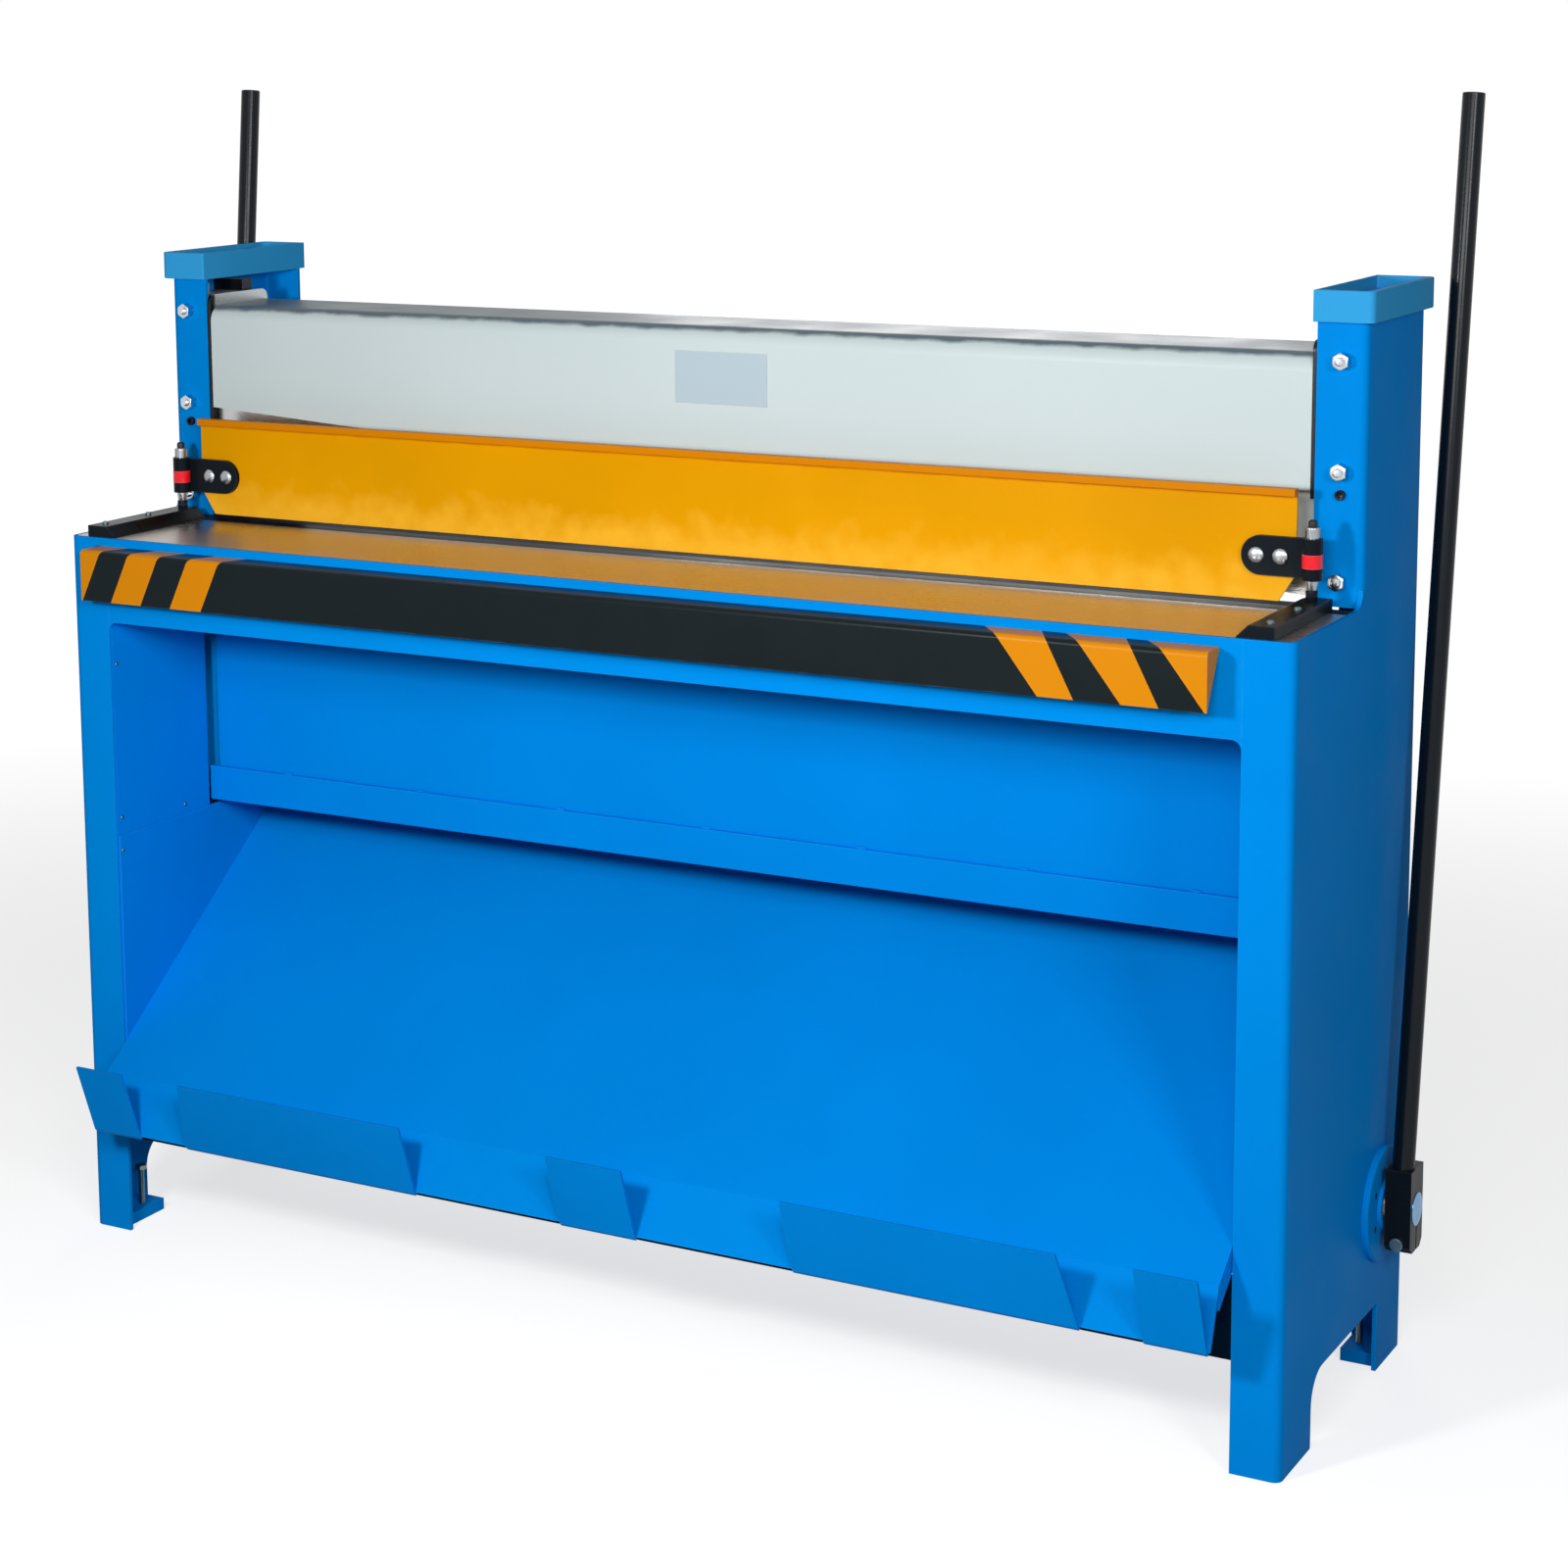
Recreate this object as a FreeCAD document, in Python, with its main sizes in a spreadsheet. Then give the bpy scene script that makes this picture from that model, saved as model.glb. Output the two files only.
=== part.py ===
import FreeCAD, Part
import Sketcher
import math
import os
import types

# A foot-standing hand guillotine for sheet metal.  Every place is given as x across
# the machine, y behind the front face of the legs and z above the floor, in millimetres.

doc = FreeCAD.newDocument("guillotine_shear")

SIZES = {
    # the two side frames, bent from sheet
    "body_width": 1588,
    "table_height": 900,
    "column_rise": 306,
    "frame_sheet": 5,
    "flange_width": 56,
    "bend_outer": 10,
    "column_setback": 217,
    "column_depth": 205,
    "step_radius": 20,
    "arch_front_leg": 99,
    "arch_rear_leg": 93,
    "arch_height": 82,
    "arch_radius": 37,
    # gaps between pieces that move past each other, and play at the shafts
    "sliding_gap": 0.3,
    "running_play": 0.05,
    # caps round the column tops
    "cap_height": 34,
    "cap_overlap": 20,
    "cap_wall": 8,
    "cap_inner_wall": 3,
    # front beam and table
    "beam_height": 106,
    "beam_flange": 40,
    "beam_corner": 11,
    "table_thickness": 6,
    # lower blade, its beam and the rail on the beam
    "shear_line_lag": 11,
    "lower_blade_thickness": 25,
    "lower_blade_height": 28,
    "front_layer_thickness": 12,
    "front_layer_end_gap": 10,
    "back_layer_thickness": 12.5,
    "lower_beam_height": 337,
    "rail_thickness": 7,
    "rail_drop": 9,
    "rail_height": 45,
    "rail_overrun": 1.5,
    "lower_blade_end_gap": 3,
    "lower_screw_radius": 5,
    "lower_screw_depth": 30,
    "lower_screw_reach": 14,
    "lower_screw_spacing": 200,
    "lower_screw_margin": 30,
    # chute for the cut sheet
    "chute_sheet": 4,
    "chute_side_gap": 1,
    "chute_slope_angle": 37.38,
    "chute_overhang": 38,
    "chute_front_height": 221,
    "apron_length": 68.35,
    "apron_lean_angle": 20.56,
    "tab_length": 95.5,
    "tab_lean_angle": 19.57,
    "middle_tab_half": 50,
    "wide_tab_width": 340,
    "wide_tab_taper": 15,
    "end_tab_width": 70,
    "end_tab_gap": 2,
    "tab_gap": 73,
    "chute_back_flange": 30,
    "chute_edge_depth": 25,
    "chute_edge_length": 90,
    "cheek_gap": 16,
    "cheek_lap": 30,
    "cheek_flange_length": 190,
    "lining_sheet": 3,
    "lining_rail_gap": 4.5,
    # ties at the back
    "rear_tie_lap": 22,
    "rear_tie_height": 220,
    "rear_tie_flange": 30,
    "lower_tie_bottom": 120,
    "lower_tie_height": 60,
    "lower_tie_depth": 40,
    "lower_tie_wall": 3,
    "lower_tie_gap": 7,
    # feet
    "foot_thickness": 15,
    "foot_length": 72,
    "foot_width": 40,
    "foot_bolt_radius": 4,
    "foot_bolt_height": 61,
    "foot_bolt_inset": 55,
    "foot_bolt_wall_gap": 26,
    "foot_head_radius": 8,
    "foot_head_height": 6,
    # hazard guard under the table edge
    "guard_overlap": 13,
    "guard_gap": 25,
    "guard_sheet": 3,
    "guard_reach": 35,
    "guard_below_table": 10,
    "guard_drop": 63.5,
    "guard_bend": 6,
    # side gauges on the table
    "gauge_height": 14,
    "gauge_width": 43,
    "gauge_wall_gap": 19,
    "gauge_bar_gap": 1,
    "scale_edge": 1.5,
    "scale_thickness": 0.7,
    "scale_length": 125,
    "scale_end_gap": 4,
    "gauge_screw_radius": 4,
    "gauge_screw_height": 3,
    "gauge_screw_inset": 12,
    "gauge_screw_front": 25,
    "gauge_screw_pitch": 85,
    # hold-down: posts, hubs, brackets, guard panel and bar
    "post_inset": 18,
    "post_lead": 14,
    "post_radius": 8,
    "post_stem_radius": 4,
    "post_stem_height": 10,
    "post_cone_height": 11,
    "post_cone_radius": 5,
    "post_sleeve_height": 57,
    "post_cap_radius": 5,
    "post_cap_height": 8,
    "hub_wall": 2.6,
    "hub_height": 45,
    "band_lift": 13,
    "band_height": 15,
    "band_thickness": 0.4,
    "bracket_thickness": 6,
    "bracket_height": 43,
    "bracket_length": 82,
    "bracket_bolt_inset": 17,
    "bracket_bolt_pitch": 27,
    "bracket_bolt_radius": 4,
    "bracket_head_radius": 9,
    "bracket_head_height": 4,
    "bracket_nut_height": 6,
    "panel_lead": 32,
    "panel_sheet": 3,
    "panel_end_gap": 22.5,
    "panel_clearance": 7,
    "panel_height": 123,
    "panel_cut_width": 19,
    "panel_cut_height": 30,
    "lip_depth": 8,
    "lip_height": 8,
    "bar_end_gap": 49,
    "bar_thickness": 16,
    "bar_clearance": 6,
    "bar_height": 30,
    # upper blade beam
    "beam_face_lead": 9,
    "beam_sheet": 5,
    "beam_lift": 122,
    "beam_top_gap": 34,
    "beam_back_overrun": 21,
    "beam_top_bend": 21,
    "beam_bottom_bend": 8,
    "beam_bottom_return": 8.5,
    "beam_cut_length": 283,
    "beam_cut_rise": 19,
    "plate_width": 122,
    "plate_offset": 15,
    "plate_lift": 59,
    "plate_height": 62,
    "plate_thickness": 1.5,
    "slide_plate_thickness": 4.7,
    "slide_plate_lap": 1,
    "slide_plate_drop": 7,
    "slide_plate_rise": 14,
    "slide_plate_corner": 12,
    "blade_rake_angle": 3.6,
    "blade_end_gap": 2,
    "blade_open": 8,
    "blade_height": 50,
    "blade_thickness": 12,
    "carrier_thickness": 12,
    "carrier_lift": 15,
    "blade_screw_radius": 6,
    "blade_screw_recess": 1,
    "blade_screw_lift": 30,
    "blade_screw_spacing": 180,
    "blade_screw_margin": 50,
    "rib_thickness": 6,
    "rib_spacing": 284,
    "rib_margin": 142,
    "rib_gap": 25,
    # guides in the columns
    "gib_thickness": 8,
    "gib_inset": 4,
    "gib_low_gap": 10,
    "gib_high_gap": 6,
    "guide_bay": 70,
    "rear_guide_thickness": 20,
    "shoe_height": 140,
    "gib_bolt_inset": 27,
    "gib_bolt_low_margin": 18,
    "gib_bolt_high_margin": 35,
    "gib_bolt_radius": 5,
    "gib_nut_radius": 9.5,
    "gib_nut_height": 8,
    "gib_bolt_tip_radius": 6.5,
    "gib_bolt_tip_length": 9,
    "set_screw_drop": 25,
    "set_screw_radius": 5.5,
    "set_screw_length": 5,
    # shaft, bearings, cranks and levers
    "pivot_setback": 112,
    "pivot_z": 201,
    "shaft_radius": 19,
    "bushing_wall": 4,
    "bearing_radius": 66,
    "bearing_rim": 5,
    "bearing_chamfer": 2,
    "hub_radius": 30,
    "hub_length": 4,
    "bearing_screw_circle": 40,
    "bearing_screw_radius": 4,
    "block_gap": 2,
    "block_width": 30,
    "block_front": 23,
    "block_rear": 22,
    "block_above": 48.5,
    "block_below": 48,
    "block_chamfer": 8,
    "block_slit": 3,
    "pinch_bolt_drop": 36,
    "pinch_bolt_radius": 4.5,
    "pinch_head_radius": 7.5,
    "pinch_head_height": 5,
    "pinch_nut_height": 8,
    "lever_radius": 12.5,
    "lever_lean_angle": 6.15,
    "lever_splay_angle": 0.49,
    "lever_lead": 11.3,
    "lever_start": 23,
    "lever_reach": 1247.5,
    "shaft_end": 1,
    "crank_radius": 82.5,
    "crank_angle": 40,
    "crank_wall_gap": 4,
    "crank_thickness": 15,
    "crank_hub_radius": 34,
    "crank_eye_radius": 18,
    "crank_width": 32,
    "pin_radius": 8,
    "pin_head_radius": 12,
    "pin_head_thickness": 4,
    "pin_head_gap": 2,
    # pull rods from the cranks to the blade beam
    "rod_crank_gap": 6,
    "rod_thickness": 12,
    "rod_width": 26,
    "rod_lead": 51,
    "rod_knee_rise": 206,
    "eye_wall": 10,
    "slot_play": 1.5,
    "slot_lift": 2.5,
    # gas struts that lift the beam
    "strut_inset": 29,
    "strut_guide_gap": 4,
    "strut_radius": 11,
    "strut_drop": 260,
    "strut_length": 230,
    "strut_foot_height": 20,
    "strut_floor": 12,
    "strut_rod_radius": 5,
    "strut_end_gap": 7,
    "strut_lug_drop": 76,
    "strut_lug_height": 20,
}


class Length:
    """A size together with the sheet formula that gives it."""

    def __init__(self, value, formula):
        self.value = float(value)
        self.formula = formula

    def __add__(self, other):
        return combine(self, "+", other)

    def __radd__(self, other):
        return combine(other, "+", self)

    def __sub__(self, other):
        return combine(self, "-", other)

    def __rsub__(self, other):
        return combine(other, "-", self)

    def __mul__(self, other):
        return combine(self, "*", other)

    def __rmul__(self, other):
        return combine(other, "*", self)

    def __truediv__(self, other):
        return combine(self, "/", other)

    def __rtruediv__(self, other):
        return combine(other, "/", self)

    def __neg__(self):
        return Length(-self.value, f"(-1 * {self.formula})")


def length(number):
    """Give a plain number the same form as a size."""
    if isinstance(number, Length):
        return number
    return Length(number, f"({number:.10g})")


def combine(first, sign, second):
    """Join two sizes by one of the four operations."""
    first = length(first)
    second = length(second)
    results = {
        "+": lambda a, b: a + b,
        "-": lambda a, b: a - b,
        "*": lambda a, b: a * b,
        "/": lambda a, b: a / b,
    }
    value = results[sign](first.value, second.value)
    return Length(value, f"({first.formula} {sign} {second.formula})")


def sine(angle):
    """Sine of an angle in degrees."""
    return Length(math.sin(math.radians(angle.value)), f"sin({angle.formula})")


def cosine(angle):
    """Cosine of an angle in degrees."""
    return Length(math.cos(math.radians(angle.value)), f"cos({angle.formula})")


def tangent(angle):
    """Tangent of an angle in degrees."""
    return Length(math.tan(math.radians(angle.value)), f"tan({angle.formula})")


sheet = doc.addObject("Spreadsheet::Sheet", "Sizes")
dim = types.SimpleNamespace()
for row, (name, number) in enumerate(SIZES.items(), 1):
    sheet.set(f"A{row}", name)
    sheet.set(f"B{row}", str(number))
    sheet.setAlias(f"B{row}", name)
    setattr(dim, name, Length(number, f"Sizes.{name}"))
doc.recompute()

LEFT = -1
RIGHT = 1
SIDES = (LEFT, RIGHT)
SIDE_NAMES = {LEFT: "left", RIGHT: "right"}
HEXAGON_SIDE_COUNT = 6
BEARING_SCREW_COUNT = 6
GAUGE_SCREW_COUNT = 2
BRACKET_BOLT_COUNT = 2

# side frames and columns
half_width = dim.body_width / 2
wall_inside = half_width - dim.frame_sheet
inner_bend = dim.bend_outer - dim.frame_sheet
flange_inside = half_width - dim.flange_width
body_depth = dim.column_setback + dim.column_depth
column_height = dim.table_height + dim.column_rise
column_top = column_height + dim.cap_overlap
column_flange_back = dim.column_setback + dim.frame_sheet
arch_back = body_depth - dim.arch_rear_leg
rear_face = body_depth - dim.frame_sheet
rear_tie_front = rear_face - dim.frame_sheet

# table, lower blade, its beam and rail
shear_line = dim.column_setback + dim.shear_line_lag
table_back = shear_line - dim.lower_blade_thickness
lower_blade_half = flange_inside - dim.lower_blade_end_gap
lower_blade_bottom = dim.table_height - dim.lower_blade_height
lower_beam_middle = table_back + dim.front_layer_thickness
lower_beam_back = lower_beam_middle + dim.back_layer_thickness
lower_beam_bottom = lower_blade_bottom - dim.lower_beam_height
front_layer_half = flange_inside - dim.front_layer_end_gap
rail_half = flange_inside + dim.rail_overrun
rail_bottom = lower_beam_bottom - dim.rail_drop

# chute and its cheeks
cheek_inside = flange_inside - dim.chute_side_gap
cheek_outside = cheek_inside + dim.chute_sheet
cheek_top = lower_beam_bottom - dim.cheek_gap
lining_back = table_back - dim.rail_thickness - dim.lining_rail_gap
lining_top = dim.table_height - dim.table_thickness
apron_foot_y = -dim.chute_overhang - dim.apron_length * sine(dim.apron_lean_angle)
apron_foot_z = dim.chute_front_height - dim.apron_length * cosine(dim.apron_lean_angle)
tab_top_y = apron_foot_y - dim.tab_length * sine(dim.tab_lean_angle)
tab_top_z = apron_foot_z + dim.tab_length * cosine(dim.tab_lean_angle)
tab_thickness = dim.chute_sheet / cosine(dim.tab_lean_angle)
end_tab_end = cheek_inside - dim.end_tab_gap
end_tab_start = end_tab_end - dim.end_tab_width
wide_tab_end = end_tab_start - dim.tab_gap
wide_tab_start = wide_tab_end - dim.wide_tab_width

# guides in the columns
gib_back = column_flange_back + dim.gib_thickness
gib_inner = flange_inside + dim.gib_inset
gib_outer = wall_inside - inner_bend
gib_bottom = dim.table_height + dim.gib_low_gap
gib_top = column_height - dim.gib_high_gap
gib_bolt_x = half_width - dim.gib_bolt_inset
gib_bolt_low = gib_bottom + dim.gib_bolt_low_margin
gib_bolt_high = gib_top - dim.gib_bolt_high_margin
gib_bolt_middle = (gib_bolt_low + gib_bolt_high) / 2
set_screw_height = gib_bolt_middle - dim.set_screw_drop
rear_guide_front = gib_back + dim.guide_bay
rear_guide_back = rear_guide_front + dim.rear_guide_thickness

# upper blade beam
slide_plate_outer = flange_inside - dim.sliding_gap
beam_half = slide_plate_outer - dim.slide_plate_thickness
beam_face = shear_line - dim.beam_face_lead
beam_back = rear_guide_back + dim.beam_back_overrun
beam_bottom = dim.table_height + dim.beam_lift
beam_top = column_height - dim.beam_top_gap
beam_cut_start = beam_half - dim.beam_cut_length
plate_bottom = beam_bottom + dim.plate_lift
slide_plate_front = beam_face - dim.slide_plate_lap
slide_plate_back = beam_back + dim.slide_plate_lap
slide_plate_bottom = beam_bottom - dim.slide_plate_drop
slide_plate_top = beam_top + dim.slide_plate_rise
shoe_bottom = slide_plate_top - dim.shoe_height
blade_half = beam_half - dim.blade_end_gap
blade_front = shear_line + dim.sliding_gap
blade_back = blade_front + dim.blade_thickness
carrier_back = blade_back + dim.carrier_thickness
blade_low = dim.table_height + dim.blade_open
rake = tangent(dim.blade_rake_angle)
blade_rise = 2 * blade_half * rake
rib_bottom = blade_low + blade_rise + dim.blade_height + dim.rib_gap

# hold-down and side gauges
gauge_outer = wall_inside - dim.gauge_wall_gap
gauge_inner = gauge_outer - dim.gauge_width
gauge_top = dim.table_height + dim.gauge_height
gauge_screw_x = gauge_outer - dim.gauge_screw_inset
panel_face = beam_face - dim.panel_lead
panel_back = panel_face + dim.panel_sheet
panel_bottom = dim.table_height + dim.panel_clearance
bar_bottom = dim.table_height + dim.bar_clearance
gauge_back = panel_back - dim.gauge_bar_gap
scale_back = gauge_back - dim.scale_end_gap
scale_front = scale_back - dim.scale_length
post_x = gauge_outer - dim.post_inset
post_y = panel_face - dim.post_lead
panel_half = post_x - dim.panel_end_gap
bar_half = post_x - dim.bar_end_gap
post_cone_bottom = gauge_top + dim.post_stem_height
hub_bottom = post_cone_bottom + dim.post_cone_height
post_sleeve_top = hub_bottom + dim.post_sleeve_height
hub_bore = dim.post_radius + dim.running_play
hub_outer = hub_bore + dim.hub_wall
band_bottom = hub_bottom + dim.band_lift
bracket_front = panel_face - dim.bracket_thickness
bracket_middle = hub_bottom + dim.bracket_height / 2
bracket_inner = post_x - dim.bracket_length
bracket_bolt_x = bracket_inner + dim.bracket_bolt_inset
guard_left = flange_inside + dim.guard_overlap
guard_right = flange_inside - dim.guard_gap
guard_top = dim.table_height - dim.guard_below_table

# shaft, levers, cranks, pull rods and struts
pivot_y = dim.column_setback + dim.pivot_setback
bearing_face = half_width + dim.bearing_rim + dim.bearing_chamfer
bearing_end = bearing_face + dim.hub_length
block_inner = bearing_end + dim.block_gap
block_outer = block_inner + dim.block_width
lever_x = block_inner + dim.block_width / 2
bushing_radius = dim.shaft_radius + dim.running_play + dim.bushing_wall
crank_inner = wall_inside - dim.crank_wall_gap - dim.crank_thickness
pin_y = pivot_y - dim.crank_radius * cosine(dim.crank_angle)
pin_z = dim.pivot_z + dim.crank_radius * sine(dim.crank_angle)
stroke = 2 * dim.crank_radius * sine(dim.crank_angle)
rod_inner = crank_inner - dim.rod_crank_gap - dim.rod_thickness
rod_y = pivot_y - dim.rod_lead
rod_knee = dim.pivot_z + dim.rod_knee_rise
strut_x = wall_inside - dim.strut_inset
strut_y = rear_guide_back + dim.strut_guide_gap + dim.strut_radius
strut_bottom = dim.table_height - dim.strut_drop
strut_rod_bottom = strut_bottom + dim.strut_floor + stroke + dim.strut_end_gap
strut_rod_top = slide_plate_top - dim.strut_lug_drop

# the machine is shifted so that its whole depth is centred
lever_axis_y = pivot_y - dim.lever_lead
lever_top_y = lever_axis_y + dim.lever_reach * sine(dim.lever_lean_angle)
lever_back = lever_top_y + dim.lever_radius * cosine(dim.lever_lean_angle)
front = (tab_thickness - tab_top_y - lever_back) / 2

PLANE_ROLES = {"XY": "XY_Plane", "XZ": "XZ_Plane", "YZ": "YZ_Plane"}
TURN_TO_AXIS = {
    "x": FreeCAD.Rotation(FreeCAD.Vector(0, 1, 0), 90),
    "y": FreeCAD.Rotation(FreeCAD.Vector(1, 0, 0), -90),
    "z": FreeCAD.Rotation(),
}
VOLUME_STEP = 0.001
# how a sketch counts the points of a line or an arc, and its own origin
BOTH_END_INDEXES = (1, 2)
CENTRE_INDEX = 3
ORIGIN_INDEXES = (-1, 1)


def bind(target, place, size):
    """Tie one property to its sheet formula."""
    target.setExpression(place, length(size).formula)


def in_order(first, second):
    """Put the smaller of two sizes first."""
    first = length(first)
    second = length(second)
    if first.value > second.value:
        return second, first
    return first, second


def across(side, inner, outer):
    """The x range of a piece on the left or the right."""
    return in_order(side * length(inner), side * length(outer))


def direction(start, end):
    """Unit step from one corner to the next along an upright or level edge."""
    run = end[0].value - start[0].value
    rise = end[1].value - start[1].value
    if abs(run) > abs(rise):
        return math.copysign(1, run), 0
    return 0, math.copysign(1, rise)


def arc_between(entry, leave, centre, radius, turns_left):
    """A quarter circle drawn anticlockwise between two points."""
    first, last = (entry, leave) if turns_left else (leave, entry)
    begin = math.atan2(first[1].value - centre[1].value, first[0].value - centre[0].value)
    finish = math.atan2(last[1].value - centre[1].value, last[0].value - centre[0].value)
    if finish < begin:
        finish += 2 * math.pi
    middle = FreeCAD.Vector(centre[0].value, centre[1].value, 0)
    circle = Part.Circle(middle, FreeCAD.Vector(0, 0, 1), radius.value)
    return Part.ArcOfCircle(circle, begin, finish)


def outline_points(corners):
    """Split the corners into stops, with an entry and a leave point at each round one."""
    stops = []
    for index, corner in enumerate(corners):
        point = (length(corner[0]), length(corner[1]))
        if len(corner) == 2:
            stops.append({"entry": point, "leave": point, "radius": None})
            continue
        radius = length(corner[2])
        before = [length(value) for value in corners[index - 1][:2]]
        after = [length(value) for value in corners[(index + 1) % len(corners)][:2]]
        back = direction(point, before)
        ahead = direction(point, after)
        entry = tuple(point[i] + back[i] * radius for i in range(2))
        leave = tuple(point[i] + ahead[i] * radius for i in range(2))
        centre = tuple(entry[i] + ahead[i] * radius for i in range(2))
        turns_left = back[0] * ahead[1] - back[1] * ahead[0] < 0
        stops.append({"entry": entry, "leave": leave, "radius": radius,
                      "centre": centre, "turns_left": turns_left})
    return stops


def draw_outline(sketch, corners):
    """Draw a closed outline whose every corner is held by its two distances."""
    stops = outline_points(corners)
    chain = []
    for index, stop in enumerate(stops):
        if stop["radius"] is not None:
            arc = arc_between(stop["entry"], stop["leave"], stop["centre"],
                              stop["radius"], stop["turns_left"])
            ends = BOTH_END_INDEXES if stop["turns_left"] else BOTH_END_INDEXES[::-1]
            chain.append((sketch.addGeometry(arc, False), ends, stop["entry"], stop["radius"]))
        following = stops[(index + 1) % len(stops)]
        start = FreeCAD.Vector(stop["leave"][0].value, stop["leave"][1].value, 0)
        end = FreeCAD.Vector(following["entry"][0].value, following["entry"][1].value, 0)
        line = sketch.addGeometry(Part.LineSegment(start, end), False)
        chain.append((line, BOTH_END_INDEXES, stop["leave"], None))
    for index, (item, ends, start, radius) in enumerate(chain):
        following, following_ends = chain[(index + 1) % len(chain)][:2]
        sketch.addConstraint(Sketcher.Constraint(
            "Coincident", item, ends[1], following, following_ends[0]))
        hold_point(sketch, item, ends[0], start)
        if radius is not None:
            number = sketch.addConstraint(Sketcher.Constraint("Radius", item, radius.value))
            bind(sketch, f"Constraints[{number}]", radius)


def hold_point(sketch, item, end, place):
    """Fix a point of the sketch at its distances from the origin."""
    for kind, size in zip(("DistanceX", "DistanceY"), place):
        number = sketch.addConstraint(
            Sketcher.Constraint(kind, *ORIGIN_INDEXES, item, end, size.value))
        bind(sketch, f"Constraints[{number}]", size)


def draw_circle(sketch, centre, radius):
    """Draw one circle held at its centre."""
    place = (length(centre[0]), length(centre[1]))
    radius = length(radius)
    middle = FreeCAD.Vector(place[0].value, place[1].value, 0)
    circle = Part.Circle(middle, FreeCAD.Vector(0, 0, 1), radius.value)
    item = sketch.addGeometry(circle, False)
    hold_point(sketch, item, CENTRE_INDEX, place)
    number = sketch.addConstraint(Sketcher.Constraint("Radius", item, radius.value))
    bind(sketch, f"Constraints[{number}]", radius)


class Solid:
    """One piece grown by pads and pockets in the machine's frame."""

    def __init__(self, label):
        self.body = doc.addObject("PartDesign::Body", label)
        self.body.Label = label
        bind(self.body, "Placement.Base.y", front)
        self.count = 0

    def sketch(self, plane, level):
        self.count += 1
        sketch = self.body.newObject("Sketcher::SketchObject", f"{self.body.Name}_sketch_{self.count}")
        role = PLANE_ROLES[plane]
        support = [item for item in self.body.Origin.OriginFeatures if item.Role == role][0]
        sketch.AttachmentSupport = [(support, "")]
        sketch.MapMode = "FlatFace"
        # the XZ plane looks towards the front, so its levels count backwards
        bind(sketch, "AttachmentOffset.Base.z", -level if plane == "XZ" else level)
        return sketch

    def feature(self, kind, plane, level, start, end, outlines, circles):
        sketch = self.sketch(plane, level)
        for outline in outlines:
            draw_outline(sketch, outline)
        for centre, radius in circles:
            draw_circle(sketch, centre, radius)
        feature = self.body.newObject(kind, f"{sketch.Name}_solid")
        feature.Profile = sketch
        bind(feature, "Length", end - start)
        return feature

    def pad(self, plane, start, end, *outlines, circles=()):
        """Add the outlines between two levels of the plane."""
        start, end = in_order(start, end)
        level = end if plane == "XZ" else start
        self.feature("PartDesign::Pad", plane, level, start, end, outlines, circles)

    def pocket(self, plane, start, end, *outlines, circles=()):
        """Cut the outlines away between two levels of the plane."""
        start, end = in_order(start, end)
        doc.recompute()
        before = self.body.Shape.Volume
        level = start if plane == "XZ" else end
        self.feature("PartDesign::Pocket", plane, level, start, end, outlines, circles)
        doc.recompute()
        if self.body.Shape.Volume > before - VOLUME_STEP:
            raise ValueError(f"a pocket in {self.body.Label} cuts nothing")


def box(label, x_range, y_range, z_range):
    """A plain block."""
    block = doc.addObject("Part::Box", label)
    for side_name, (start, end) in zip(("Length", "Width", "Height"), (x_range, y_range, z_range)):
        bind(block, side_name, length(end) - start)
    place(block, x_range[0], y_range[0], z_range[0])
    return block


def place(item, x, y, z):
    """Put the item's own corner or centre at a point of the machine."""
    bind(item, "Placement.Base.x", x)
    bind(item, "Placement.Base.y", front + y)
    bind(item, "Placement.Base.z", z)


def turned(kind, label, axis, centre, start, end):
    """A round or hexagonal primitive along one axis, between two levels."""
    item = doc.addObject(kind, label)
    item.Placement = FreeCAD.Placement(FreeCAD.Vector(), TURN_TO_AXIS[axis])
    spot = {"x": (start, *centre), "y": (centre[0], start, centre[1]), "z": (*centre, start)}
    place(item, *spot[axis])
    bind(item, "Height", length(end) - start)
    return item


def rod(label, axis, centre, radius, start, end):
    """A round bar along one axis."""
    item = turned("Part::Cylinder", label, axis, centre, start, end)
    bind(item, "Radius", radius)
    return item


def cone(label, axis, centre, radii, start, end):
    """A round bar that changes its radius from start to end."""
    item = turned("Part::Cone", label, axis, centre, start, end)
    bind(item, "Radius1", radii[0])
    bind(item, "Radius2", radii[1])
    return item


def hexagon(label, axis, centre, radius, start, end):
    """A hexagonal bar along one axis."""
    item = turned("Part::Prism", label, axis, centre, start, end)
    item.Polygon = HEXAGON_SIDE_COUNT
    bind(item, "Circumradius", radius)
    return item


def fuse(label, *items):
    """Join touching solids into one."""
    joined = doc.addObject("Part::MultiFuse", label)
    joined.Shapes = list(items)
    joined.Refine = True
    return joined


def cut(label, base, *tools):
    """Take the tools away from the base."""
    doc.recompute()
    before = base.Shape.Volume
    result = doc.addObject("Part::Cut", label)
    result.Base = base
    result.Tool = tools[0] if len(tools) == 1 else fuse(f"{label}_tools", *tools)
    doc.recompute()
    if result.Shape.Volume > before - VOLUME_STEP:
        raise ValueError(f"a cut in {label} takes nothing away")
    return result


def group(label, items):
    """Several separate solids of one kind that share a name."""
    gathered = doc.addObject("Part::Compound", label)
    gathered.Links = list(items)
    return gathered


pieces = []


def keep(item, label):
    """Name a finished piece."""
    item = item.body if isinstance(item, Solid) else item
    item.Label = label
    pieces.append(item)
    return item


def spread(spacing, half_length, margin):
    """Places along the machine, evenly spaced about its middle."""
    reach = half_length.value - margin.value
    number = int(reach // spacing.value)
    return [step * spacing for step in range(-number, number + 1)]


# side frames and caps

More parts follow.
